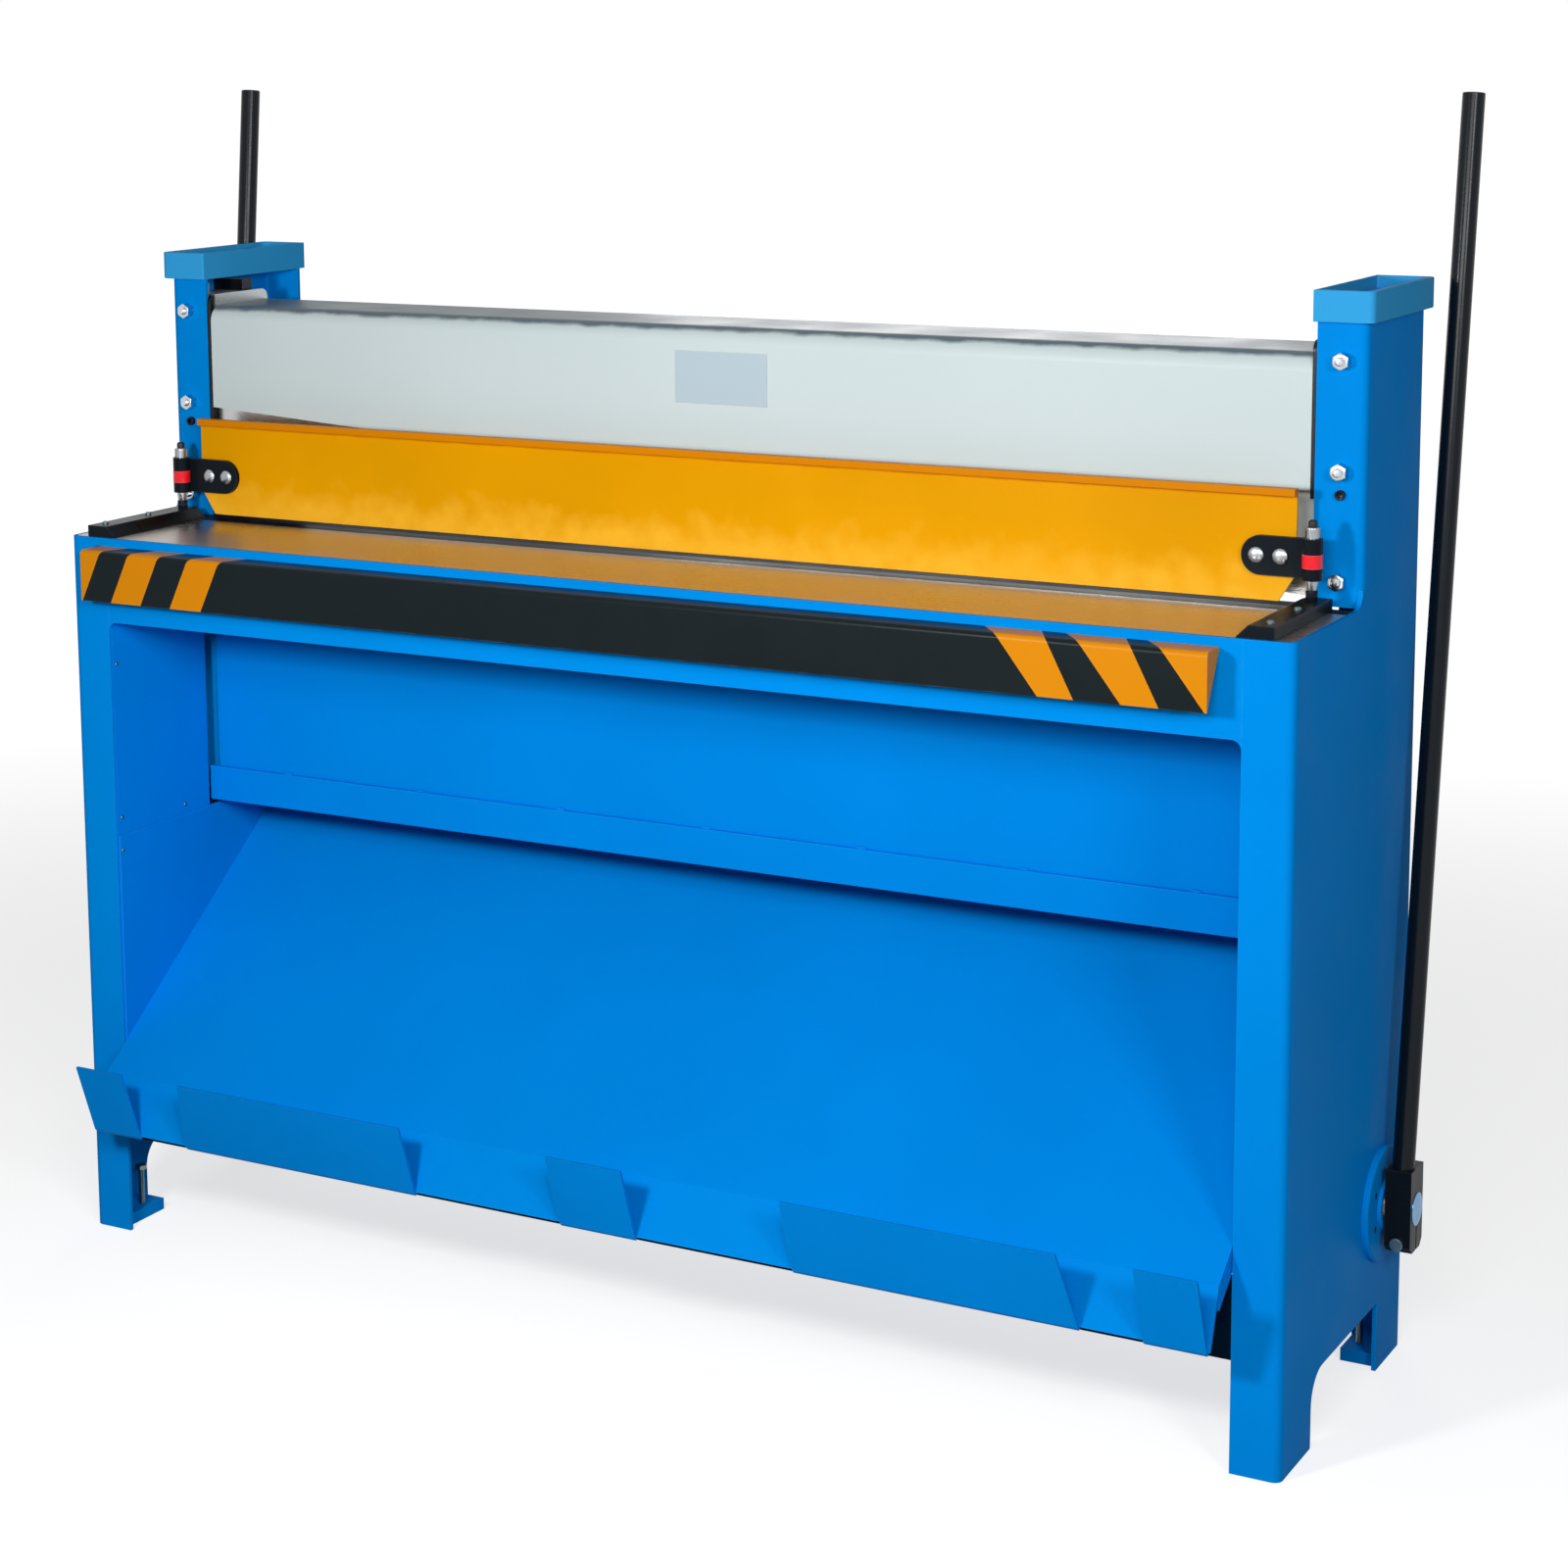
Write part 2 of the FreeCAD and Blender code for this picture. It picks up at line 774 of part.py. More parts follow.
def gib_bolt_heights():
    """Heights of the bolts that press each gib."""
    return (gib_bolt_low, gib_bolt_middle, gib_bolt_high)


def bearing_screw_places():
    """Screws evenly round each bearing, as places in the side view."""
    places = []
    for step in range(BEARING_SCREW_COUNT):
        angle = 2 * math.pi * (step + 0.5) / BEARING_SCREW_COUNT
        places.append((pivot_y + math.cos(angle) * dim.bearing_screw_circle,
                       dim.pivot_z + math.sin(angle) * dim.bearing_screw_circle))
    return places


def channel(side, y_front, y_back):
    """Plan section of a sheet bent round the front, the outside and the back."""
    return [
        (side * flange_inside, y_front),
        (side * half_width, y_front, dim.bend_outer),
        (side * half_width, y_back, dim.bend_outer),
        (side * flange_inside, y_back),
        (side * flange_inside, y_back - dim.frame_sheet),
        (side * wall_inside, y_back - dim.frame_sheet, inner_bend),
        (side * wall_inside, y_front + dim.frame_sheet, inner_bend),
        (side * flange_inside, y_front + dim.frame_sheet),
    ]


def side_frame(side):
    """Leg and column in one bent sheet, with a step at table height and an arch below."""
    frame = Solid(f"{SIDE_NAMES[side]}_side_frame")
    frame.pad("XY", length(0), dim.table_height, channel(side, length(0), body_depth))
    frame.pad("XY", dim.table_height, column_top, channel(side, dim.column_setback, body_depth))
    web_back = dim.column_setback + dim.bend_outer
    web_top = dim.table_height + dim.step_radius
    frame.pad("YZ", side * wall_inside, side * half_width, [
        (web_back, dim.table_height - dim.frame_sheet),
        (web_back, web_top),
        (dim.column_setback - dim.frame_sheet, web_top),
        (dim.column_setback - dim.frame_sheet, dim.table_height - dim.frame_sheet),
    ])
    frame.pad("YZ", side * wall_inside, side * half_width, [
        (dim.column_setback - dim.step_radius, dim.table_height),
        (dim.column_setback, dim.table_height),
        (dim.column_setback, web_top),
    ])
    doc.recompute()
    frame.pocket("YZ", side * wall_inside, side * half_width, circles=[
        ((dim.column_setback - dim.step_radius, web_top), dim.step_radius)])
    frame.pocket("YZ", side * flange_inside, side * (half_width + dim.frame_sheet), [
        (dim.arch_front_leg, -dim.frame_sheet),
        (arch_back, -dim.frame_sheet),
        (arch_back, dim.arch_height),
        (dim.arch_front_leg, dim.arch_height, dim.arch_radius),
    ])
    screws = [(spot, dim.bearing_screw_radius) for spot in bearing_screw_places()]
    bore = ((pivot_y, dim.pivot_z), bushing_radius)
    frame.pocket("YZ", side * wall_inside, side * half_width, circles=[bore, *screws])
    bolts = [((side * gib_bolt_x, height), dim.gib_bolt_radius) for height in gib_bolt_heights()]
    bolts.append(((side * gib_bolt_x, set_screw_height), dim.set_screw_radius))
    frame.pocket("XZ", dim.column_setback, column_flange_back, circles=bolts)
    keep(frame, f"{SIDE_NAMES[side]}_side_frame")


def cap(side):
    """Open box round the column top."""
    ring = Solid(f"{SIDE_NAMES[side]}_cap")
    outer = half_width + dim.cap_wall
    ring.pad("XY", column_height, column_height + dim.cap_height, [
        (side * (flange_inside - dim.cap_inner_wall), dim.column_setback - dim.cap_wall),
        (side * outer, dim.column_setback - dim.cap_wall, dim.cap_wall),
        (side * outer, body_depth + dim.cap_wall, dim.cap_wall),
        (side * (flange_inside - dim.cap_inner_wall), body_depth + dim.cap_wall),
    ])
    ring.pocket("XY", column_height, column_height + dim.cap_height, [
        (side * flange_inside, dim.column_setback),
        (side * half_width, dim.column_setback, dim.bend_outer),
        (side * half_width, body_depth, dim.bend_outer),
        (side * flange_inside, body_depth),
    ])
    keep(ring, f"{SIDE_NAMES[side]}_cap")


# front beam, table and lower blade

def front_beam():
    """Bent beam that joins the legs under the front edge of the table."""
    beam = Solid("front_beam")
    bottom = dim.table_height - dim.beam_height
    shelf = dim.table_height - dim.table_thickness
    beam.pad("XZ", length(0), dim.frame_sheet, [
        (-flange_inside, dim.table_height),
        (-flange_inside, bottom - dim.beam_corner),
        (-flange_inside + dim.beam_corner, bottom),
        (flange_inside - dim.beam_corner, bottom),
        (flange_inside, bottom - dim.beam_corner),
        (flange_inside, dim.table_height),
    ])
    for side in SIDES:
        corner = (side * (flange_inside - dim.beam_corner), bottom - dim.beam_corner)
        beam.pocket("XZ", length(0), dim.frame_sheet, circles=[(corner, dim.beam_corner)])
    beam.pad("YZ", -flange_inside, flange_inside, [
        (dim.frame_sheet, shelf - dim.frame_sheet),
        (dim.beam_flange, shelf - dim.frame_sheet),
        (dim.beam_flange, shelf),
        (dim.frame_sheet, shelf),
    ], [
        (dim.frame_sheet, bottom),
        (dim.beam_flange, bottom),
        (dim.beam_flange, bottom + dim.frame_sheet),
        (dim.frame_sheet, bottom + dim.frame_sheet),
    ])
    keep(beam, "front_beam")


def table_top():
    """Polished plate between the side plates."""
    plate = Solid("table_top")
    plate.pad("XY", dim.table_height - dim.table_thickness, dim.table_height, [
        (-wall_inside, dim.frame_sheet, inner_bend),
        (wall_inside, dim.frame_sheet, inner_bend),
        (wall_inside, table_back),
        (-wall_inside, table_back),
    ])
    keep(plate, "table_top")


def lower_screw_places():
    """Upright screws along the middle of the lower blade."""
    return [(x, lower_beam_middle) for x in
            spread(dim.lower_screw_spacing, front_layer_half, dim.lower_screw_margin)]


def lower_blade_beam():
    """Two thick plates on edge that carry the lower blade."""
    beam = Solid("lower_blade_beam")
    beam.pad("XY", lower_beam_bottom, lower_blade_bottom, [
        (-front_layer_half, table_back),
        (front_layer_half, table_back),
        (front_layer_half, lower_beam_middle),
        (wall_inside, lower_beam_middle),
        (wall_inside, lower_beam_back),
        (-wall_inside, lower_beam_back),
        (-wall_inside, lower_beam_middle),
        (-front_layer_half, lower_beam_middle),
    ])
    holes = [(spot, dim.lower_screw_radius) for spot in lower_screw_places()]
    beam.pocket("XY", lower_blade_bottom - dim.lower_screw_depth, lower_blade_bottom, circles=holes)
    keep(beam, "lower_blade_beam")


def ledge_rail():
    """Flat bar along the lower edge of the beam."""
    rail = box("ledge_rail", (-rail_half, rail_half),
               (table_back - dim.rail_thickness, table_back),
               (rail_bottom, rail_bottom + dim.rail_height))
    keep(rail, "ledge_rail")


def lower_blade():
    """Fixed blade flush with the table."""
    blade = Solid("lower_blade")
    half = lower_blade_half
    blade.pad("XY", lower_blade_bottom, dim.table_height, [
        (-half, table_back), (half, table_back), (half, shear_line), (-half, shear_line)])
    holes = [(spot, dim.lower_screw_radius) for spot in lower_screw_places()]
    blade.pocket("XY", lower_blade_bottom, lower_blade_bottom + dim.lower_screw_reach, circles=holes)
    keep(blade, "lower_blade")
    screws = []
    for number, spot in enumerate(lower_screw_places()):
        screws.append(rod(f"lower_blade_screw_{number}", "z", spot, dim.lower_screw_radius,
                          lower_blade_bottom - dim.lower_screw_depth,
                          lower_blade_bottom + dim.lower_screw_reach))
    keep(group("lower_blade_screws", screws), "lower_blade_screws")


# chute

def chute_floor_height(y):
    """Height of the sloping floor at a distance behind the front plane."""
    return dim.chute_front_height + (y + dim.chute_overhang) * tangent(dim.chute_slope_angle)


def tab_spans():
    """The x ranges of the upturned tabs, from left to right."""
    wide = (wide_tab_start, wide_tab_end)
    end = (end_tab_start, end_tab_end)
    return [across(LEFT, *end), across(LEFT, *wide), (-dim.middle_tab_half, dim.middle_tab_half),
            across(RIGHT, *wide), across(RIGHT, *end)]


def chute():
    """Sloping floor, steep apron and upturned tabs, all bent from one sheet."""
    tray = Solid("chute")
    back = rear_tie_front - dim.chute_sheet
    back_z = chute_floor_height(back)
    floor_drop = dim.chute_sheet / cosine(dim.chute_slope_angle)
    apron_shift = dim.chute_sheet / cosine(dim.apron_lean_angle)
    floor_rise = tangent(dim.chute_slope_angle)
    apron_run = tangent(dim.apron_lean_angle)
    bend_z = (floor_rise * apron_shift - floor_drop) / (1 - floor_rise * apron_run)
    bend_y = apron_shift + apron_run * bend_z
    tray.pad("YZ", -cheek_inside, cheek_inside, [
        (back, back_z + dim.chute_back_flange),
        (back, back_z),
        (-dim.chute_overhang, dim.chute_front_height),
        (apron_foot_y, apron_foot_z),
        (apron_foot_y + apron_shift, apron_foot_z),
        (-dim.chute_overhang + bend_y, dim.chute_front_height + bend_z),
        (rear_tie_front, chute_floor_height(rear_tie_front) - floor_drop),
        (rear_tie_front, back_z + dim.chute_back_flange),
    ])
    for start, end in tab_spans():
        tray.pad("YZ", start, end, [
            (apron_foot_y, apron_foot_z),
            (tab_top_y, tab_top_z),
            (tab_top_y - tab_thickness, tab_top_z),
            (apron_foot_y - tab_thickness, apron_foot_z),
            (apron_foot_y, apron_foot_z - dim.chute_sheet),
            (apron_foot_y + apron_shift, apron_foot_z),
        ])
    for side in SIDES:
        tray.pocket("XZ", tab_top_y - dim.tab_length, apron_foot_y, [
            (side * wide_tab_end, apron_foot_z),
            (side * (wide_tab_end - dim.wide_tab_taper), tab_top_z + dim.chute_sheet),
            (side * (wide_tab_end + dim.wide_tab_taper), tab_top_z + dim.chute_sheet),
        ])
        edge_back = dim.chute_edge_length - dim.chute_overhang
        tray.pad("YZ", side * (cheek_inside - dim.chute_sheet), side * cheek_inside, [
            (-dim.chute_overhang + bend_y, dim.chute_front_height + bend_z),
            (edge_back, chute_floor_height(edge_back) - floor_drop),
            (edge_back, chute_floor_height(edge_back) - floor_drop - dim.chute_edge_depth),
            (-dim.chute_overhang + bend_y, dim.chute_front_height + bend_z - dim.chute_edge_depth),
        ])
    keep(tray, "chute")


def chute_cheek(side):
    """Side sheet that closes the channel above the chute floor, with a flange to the wall."""
    name = f"{SIDE_NAMES[side]}_chute_cheek"
    cheek = Solid(name)
    start = dim.frame_sheet
    slope = tangent(dim.chute_slope_angle)
    low = chute_floor_height(start) - dim.cheek_lap
    cheek.pad("YZ", side * cheek_inside, side * cheek_outside, [
        (start, low),
        (start, cheek_top),
        (start + (cheek_top - low) / slope, cheek_top),
    ])
    flange_start = dim.bend_outer
    flange_end = flange_start + dim.cheek_flange_length
    cheek.pad("YZ", side * cheek_outside, side * wall_inside, [
        (flange_start, cheek_top - dim.chute_sheet),
        (flange_end, cheek_top - dim.chute_sheet),
        (flange_end, cheek_top),
        (flange_start, cheek_top),
    ])
    keep(cheek, name)


def side_lining(side):
    """Flat sheet over the open side of the channel, between the cheek and the table."""
    name = f"{SIDE_NAMES[side]}_side_lining"
    sheet_faces = across(side, flange_inside, flange_inside + dim.lining_sheet)
    keep(box(name, sheet_faces, (dim.frame_sheet, lining_back), (cheek_top, lining_top)), name)


# ties and feet

def rear_tie():
    """Flanged plate that joins the side frames behind the chute."""
    tie = Solid("rear_tie")
    bottom = chute_floor_height(rear_tie_front - dim.chute_sheet) - dim.rear_tie_lap
    top = bottom + dim.rear_tie_height
    tie.pad("YZ", inner_bend - wall_inside, wall_inside - inner_bend, [
        (rear_tie_front - dim.rear_tie_flange, top),
        (rear_tie_front - dim.rear_tie_flange, top - dim.frame_sheet),
        (rear_tie_front, top - dim.frame_sheet),
        (rear_tie_front, bottom),
        (rear_face, bottom),
        (rear_face, top),
    ])
    keep(tie, "rear_tie")


def lower_tie():
    """Rectangular tube that joins the legs near the floor."""
    back_y = rear_face - dim.lower_tie_gap
    front_y = back_y - dim.lower_tie_depth
    bottom = dim.lower_tie_bottom
    top = bottom + dim.lower_tie_height
    wall = dim.lower_tie_wall
    outside = box("lower_tie_outside", (-wall_inside, wall_inside), (front_y, back_y), (bottom, top))
    inside = box("lower_tie_inside", (-wall_inside, wall_inside),
                 (front_y + wall, back_y - wall), (bottom + wall, top - wall))
    keep(cut("lower_tie", outside, inside), "lower_tie")


def feet():
    """Foot plates in the corners of the legs, with headed levelling bolts."""
    plates = []
    bolts = []
    head_top = dim.foot_bolt_height + dim.foot_head_height
    for side in SIDES:
        x_range = across(side, wall_inside - dim.foot_width, wall_inside)
        bolt_x = side * (wall_inside - dim.foot_bolt_wall_gap)
        for end in ("front", "back"):
            start = dim.bend_outer if end == "front" else body_depth - dim.bend_outer - dim.foot_length
            bolt_y = dim.foot_bolt_inset if end == "front" else body_depth - dim.foot_bolt_inset
            name = f"{SIDE_NAMES[side]}_{end}"
            spot = (bolt_x, bolt_y)
            plate = box(f"foot_plate_{name}", x_range, (start, start + dim.foot_length),
                        (length(0), dim.foot_thickness))
            hole = rod(f"foot_hole_{name}", "z", spot, dim.foot_bolt_radius,
                       length(0), dim.foot_thickness)
            plates.append(cut(f"foot_{name}", plate, hole))
            shank = rod(f"foot_shank_{name}", "z", spot, dim.foot_bolt_radius,
                        length(0), dim.foot_bolt_height)
            head = hexagon(f"foot_head_{name}", "z", spot, dim.foot_head_radius,
                           dim.foot_bolt_height, head_top)
            bolts.append(fuse(f"foot_bolt_{name}", shank, head))
    keep(group("foot_plates", plates), "foot_plates")
    keep(group("levelling_bolts", bolts), "levelling_bolts")


# hazard guard and side gauges

def hazard_guard():
    """Bent strip in front of the table edge, closed by a gusset at each end."""
    strip = Solid("hazard_guard")
    wall = dim.guard_sheet
    top = guard_top
    bottom = top - dim.guard_drop
    strip.pad("YZ", -guard_left, guard_right, [
        (length(0), top - wall),
        (length(0), top),
        (-dim.guard_reach, top, dim.guard_bend),
        (-dim.guard_reach, bottom),
        (-dim.guard_reach + wall, bottom),
        (-dim.guard_reach + wall, top - wall, dim.guard_bend - wall),
    ])
    gusset = [
        (length(0), top - wall),
        (-dim.guard_reach + wall, top - wall),
        (-dim.guard_reach + wall, bottom + wall),
    ]
    strip.pad("YZ", -guard_left, -guard_left + wall, gusset)
    strip.pad("YZ", guard_right - wall, guard_right, gusset)
    keep(strip, "hazard_guard")


def side_gauge(side):
    """Bar with a bevelled inner edge, screwed to the table."""
    name = f"{SIDE_NAMES[side]}_side_gauge"
    gauge = Solid(name)
    gauge.pad("XZ", dim.frame_sheet, gauge_back, [
        (side * gauge_inner, dim.table_height),
        (side * gauge_outer, dim.table_height),
        (side * gauge_outer, gauge_top),
        (side * (gauge_inner + dim.gauge_height), gauge_top),
    ])
    keep(gauge, name)


def gauge_fittings():
    """Bright scale on each bevel and screws on each gauge."""
    scales = []
    screws = []
    near = dim.scale_edge
    far = dim.gauge_height - dim.scale_edge
    rise = dim.scale_thickness
    for side in SIDES:
        name = SIDE_NAMES[side]
        scale = Solid(f"scale_{name}")
        scale.pad("XZ", scale_front, scale_back, [
            (side * (gauge_inner + near), dim.table_height + near),
            (side * (gauge_inner + far), dim.table_height + far),
            (side * (gauge_inner + far - rise), dim.table_height + far + rise),
            (side * (gauge_inner + near - rise), dim.table_height + near + rise),
        ])
        scales.append(scale.body)
        for number in range(GAUGE_SCREW_COUNT):
            spot = (side * gauge_screw_x, dim.gauge_screw_front + number * dim.gauge_screw_pitch)
            screws.append(rod(f"gauge_screw_{name}_{number}", "z", spot, dim.gauge_screw_radius,
                              gauge_top, gauge_top + dim.gauge_screw_height))
    keep(group("gauge_scales", scales), "gauge_scales")
    keep(group("gauge_screws", screws), "gauge_screws")


# hold-down

def guide_posts():
    """Fixed posts on the gauges that the hold-down slides on."""
    posts = []
    caps = []
    for side in SIDES:
        name = SIDE_NAMES[side]
        spot = (side * post_x, post_y)
        stem = rod(f"post_stem_{name}", "z", spot, dim.post_stem_radius, gauge_top, post_cone_bottom)
        flare = cone(f"post_flare_{name}", "z", spot, (dim.post_cone_radius, dim.post_radius),
                     post_cone_bottom, hub_bottom)
        sleeve = rod(f"post_sleeve_{name}", "z", spot, dim.post_radius, hub_bottom, post_sleeve_top)
        posts.append(fuse(f"post_{name}", stem, flare, sleeve))
        caps.append(rod(f"post_cap_{name}", "z", spot, dim.post_cap_radius, post_sleeve_top,
                        post_sleeve_top + dim.post_cap_height))
    keep(group("guide_posts", posts), "guide_posts")
    keep(group("post_caps", caps), "post_caps")


def bracket_bolt_places(side):
    """Bolts through each bracket."""
    return [(side * (bracket_bolt_x + step * dim.bracket_bolt_pitch), bracket_middle)
            for step in range(BRACKET_BOLT_COUNT)]


def bracket(side):
    """Arm with a rounded end that joins the guard panel to its hub."""
    name = SIDE_NAMES[side]
    arm = Solid(f"bracket_arm_{name}")
    arm.pad("XZ", bracket_front, panel_face, [
        (side * (bracket_inner + dim.bracket_height / 2), hub_bottom),
        (side * post_x, hub_bottom),
        (side * post_x, hub_bottom + dim.bracket_height),
        (side * (bracket_inner + dim.bracket_height / 2), hub_bottom + dim.bracket_height),
    ])
    end = (side * (bracket_inner + dim.bracket_height / 2), bracket_middle)
    arm.pad("XZ", bracket_front, panel_face, circles=[(end, dim.bracket_height / 2)])
    holes = [(spot, dim.bracket_bolt_radius) for spot in bracket_bolt_places(side)]
    arm.pocket("XZ", bracket_front, panel_face, circles=holes)
    spot = (side * post_x, post_y)
    hub = rod(f"bracket_hub_{name}", "z", spot, hub_outer, hub_bottom, hub_bottom + dim.hub_height)
    bore = rod(f"bracket_bore_{name}", "z", spot, hub_bore, hub_bottom, hub_bottom + dim.hub_height)
    whole = fuse(f"bracket_whole_{name}", arm.body, hub)
    keep(cut(f"{name}_bracket", whole, bore), f"{name}_bracket")


def red_bands():
    """Coloured band round the free side of each hub."""
    bands = []
    for side in SIDES:
        name = SIDE_NAMES[side]
        spot = (side * post_x, post_y)
        top = band_bottom + dim.band_height
        outer = hub_outer + dim.band_thickness
        ring = rod(f"band_ring_{name}", "z", spot, outer, band_bottom, top)
        hole = rod(f"band_hole_{name}", "z", spot, hub_outer, band_bottom, top)
        beyond = box(f"band_beyond_{name}", across(side, post_x - outer * 2, post_x + outer * 2),
                     (bracket_front, bracket_front + outer), (band_bottom, top))
        bands.append(cut(f"band_{name}", ring, hole, beyond))
    keep(group("red_bands", bands), "red_bands")


def guard_panel():
    """Finger guard with a folded lip and cut lower corners."""
    panel = Solid("guard_panel")
    top = panel_bottom + dim.panel_height
    half = panel_half
    panel.pad("XZ", panel_face, panel_back, [
        (-half, panel_bottom + dim.panel_cut_height),
        (-half + dim.panel_cut_width, panel_bottom),
        (half - dim.panel_cut_width, panel_bottom),
        (half, panel_bottom + dim.panel_cut_height),
        (half, top),
        (-half, top),
    ])
    panel.pad("YZ", -half, half, [
        (panel_face - dim.lip_depth, top - dim.lip_height),
        (panel_face, top - dim.lip_height),
        (panel_face, top),
        (panel_face - dim.lip_depth, top),
    ])
    holes = []
    for side in SIDES:
        holes += [(spot, dim.bracket_bolt_radius) for spot in bracket_bolt_places(side)]
    panel.pocket("XZ", panel_face, panel_back, circles=holes)
    keep(panel, "guard_panel")


def bracket_bolts():
    """Dome-headed bolts with nuts behind the guard panel."""
    bolts = []
    for side in SIDES:
        for number, spot in enumerate(bracket_bolt_places(side)):
            name = f"{SIDE_NAMES[side]}_{number}"
            head = rod(f"bracket_head_{name}", "y", spot, dim.bracket_head_radius,
                       bracket_front - dim.bracket_head_height, bracket_front)
            shank = rod(f"bracket_shank_{name}", "y", spot, dim.bracket_bolt_radius,
                        bracket_front, panel_back)
            nut = hexagon(f"bracket_nut_{name}", "y", spot, dim.bracket_head_radius,
                          panel_back, panel_back + dim.bracket_nut_height)
            bolts.append(fuse(f"bracket_bolt_{name}", head, shank, nut))
    keep(group("bracket_bolts", bolts), "bracket_bolts")


def hold_down_bar():
    """Steel bar behind the guard panel that presses the sheet."""
    bar = box("hold_down_bar", (-bar_half, bar_half),
              (panel_back, panel_back + dim.bar_thickness),
              (bar_bottom, bar_bottom + dim.bar_height))
    keep(bar, "hold_down_bar")


# upper blade beam

def blade_edge(x):
    """Height of the raked cutting edge."""
    return blade_low + (blade_half - x) * rake


def blade_screw_places():
    """Screws along the middle of the upper blade."""
    places = []
    for x in spread(dim.blade_screw_spacing, blade_half, dim.blade_screw_margin):
        places.append((x, blade_edge(x) + dim.blade_screw_lift))
    return places


def upper_blade():
    """Raked blade on the front of its carrier."""
    blade = Solid("upper_blade")
    half = blade_half
    blade.pad("XZ", blade_front, blade_back, [
        (-half, blade_edge(-half)),
        (half, blade_edge(half)),
        (half, blade_edge(half) + dim.blade_height),
        (-half, blade_edge(-half) + dim.blade_height),
    ])
    holes = [(spot, dim.blade_screw_radius) for spot in blade_screw_places()]
    blade.pocket("XZ", blade_front, blade_back, circles=holes)
    keep(blade, "upper_blade")
    screws = []
    for number, spot in enumerate(blade_screw_places()):
        screws.append(rod(f"upper_blade_screw_{number}", "y", spot, dim.blade_screw_radius,
                          blade_front + dim.blade_screw_recess, carrier_back))
    keep(group("upper_blade_screws", screws), "upper_blade_screws")


def blade_carrier():
    """Upright plate that carries the upper blade."""
    carrier = Solid("blade_carrier")
    half = beam_half
    top = beam_top - dim.beam_sheet
    carrier.pad("XZ", blade_back, carrier_back, [
        (-half, blade_edge(-half) + dim.carrier_lift),
        (half, blade_edge(half) + dim.carrier_lift),
        (half, top),
        (-half, top),
    ])
    holes = [(spot, dim.blade_screw_radius) for spot in blade_screw_places()]
    carrier.pocket("XZ", blade_back, carrier_back, circles=holes)
    keep(carrier, "blade_carrier")


def blade_beam():
    """Front skin of the beam with its rounded top flange and small bottom return."""
    skin = Solid("blade_beam")
    face = beam_face
    wall = dim.beam_sheet
    skin.pad("YZ", -beam_half, beam_half, [
        (beam_back, beam_top),
        (face, beam_top, dim.beam_top_bend),
        (face, beam_bottom, dim.beam_bottom_bend),
        (face + dim.beam_bottom_return, beam_bottom),
        (face + dim.beam_bottom_return, beam_bottom + wall),
        (face + wall, beam_bottom + wall, dim.beam_bottom_bend - wall),
        (face + wall, beam_top - wall, dim.beam_top_bend - wall),
        (beam_back, beam_top - wall),
    ])
    skin.pocket("XZ", face, face + dim.beam_bottom_return, [
        (-beam_cut_start, beam_bottom),
        (-beam_half, beam_bottom + dim.beam_cut_rise),
        (-beam_half, beam_bottom),
    ])
    keep(skin, "blade_beam")


def beam_ribs():
    """Cross plates between the skin and the carrier and behind the carrier."""
    ribs = []
    top = beam_top - dim.beam_sheet
    skin_back = beam_face + dim.beam_sheet
    for number, x in enumerate(spread(dim.rib_spacing, beam_half, dim.rib_margin)):
        x_range = (x - dim.rib_thickness / 2, x + dim.rib_thickness / 2)
        bend_top = beam_top - dim.beam_top_bend
        ribs.append(box(f"front_rib_{number}", x_range, (skin_back, blade_back),
                        (rib_bottom, bend_top)))
        rear = Solid(f"rear_rib_{number}")
        rear.pad("YZ", *x_range, [
            (carrier_back, top),
            (carrier_back, rib_bottom),
            (beam_back, top - dim.rib_thickness),
            (beam_back, top),
        ])
        ribs.append(rear.body)
    keep(group("beam_ribs", ribs), "beam_ribs")


def blank_plate():
    """Plain plate on the middle of the beam."""
    plate_half = dim.plate_width / 2
    plate = box("blank_plate", (dim.plate_offset - plate_half, dim.plate_offset + plate_half),
                (beam_face - dim.plate_thickness, beam_face),
                (plate_bottom, plate_bottom + dim.plate_height))
    keep(plate, "blank_plate")


def slide_plates_and_shoes():
    """End plates of the beam, and the shoes that run in the columns."""
    plates = []
    shoes = []
    for side in SIDES:
        name = SIDE_NAMES[side]
        plate = Solid(f"slide_plate_{name}")
        plate.pad("YZ", side * beam_half, side * slide_plate_outer, [
            (slide_plate_front, slide_plate_bottom),
            (slide_plate_back, slide_plate_bottom),
            (slide_plate_back, slide_plate_top, dim.slide_plate_corner),
            (slide_plate_front, slide_plate_top, dim.slide_plate_corner),
        ])
        plates.append(plate.body)
        shoes.append(box(f"guide_shoe_{name}", across(side, slide_plate_outer, gib_outer),
                         (gib_back + dim.sliding_gap, rear_guide_front - dim.sliding_gap),
                         (shoe_bottom, slide_plate_top)))
    keep(group("slide_plates", plates), "slide_plates")
    keep(group("guide_shoes", shoes), "guide_shoes")


# guides in the columns

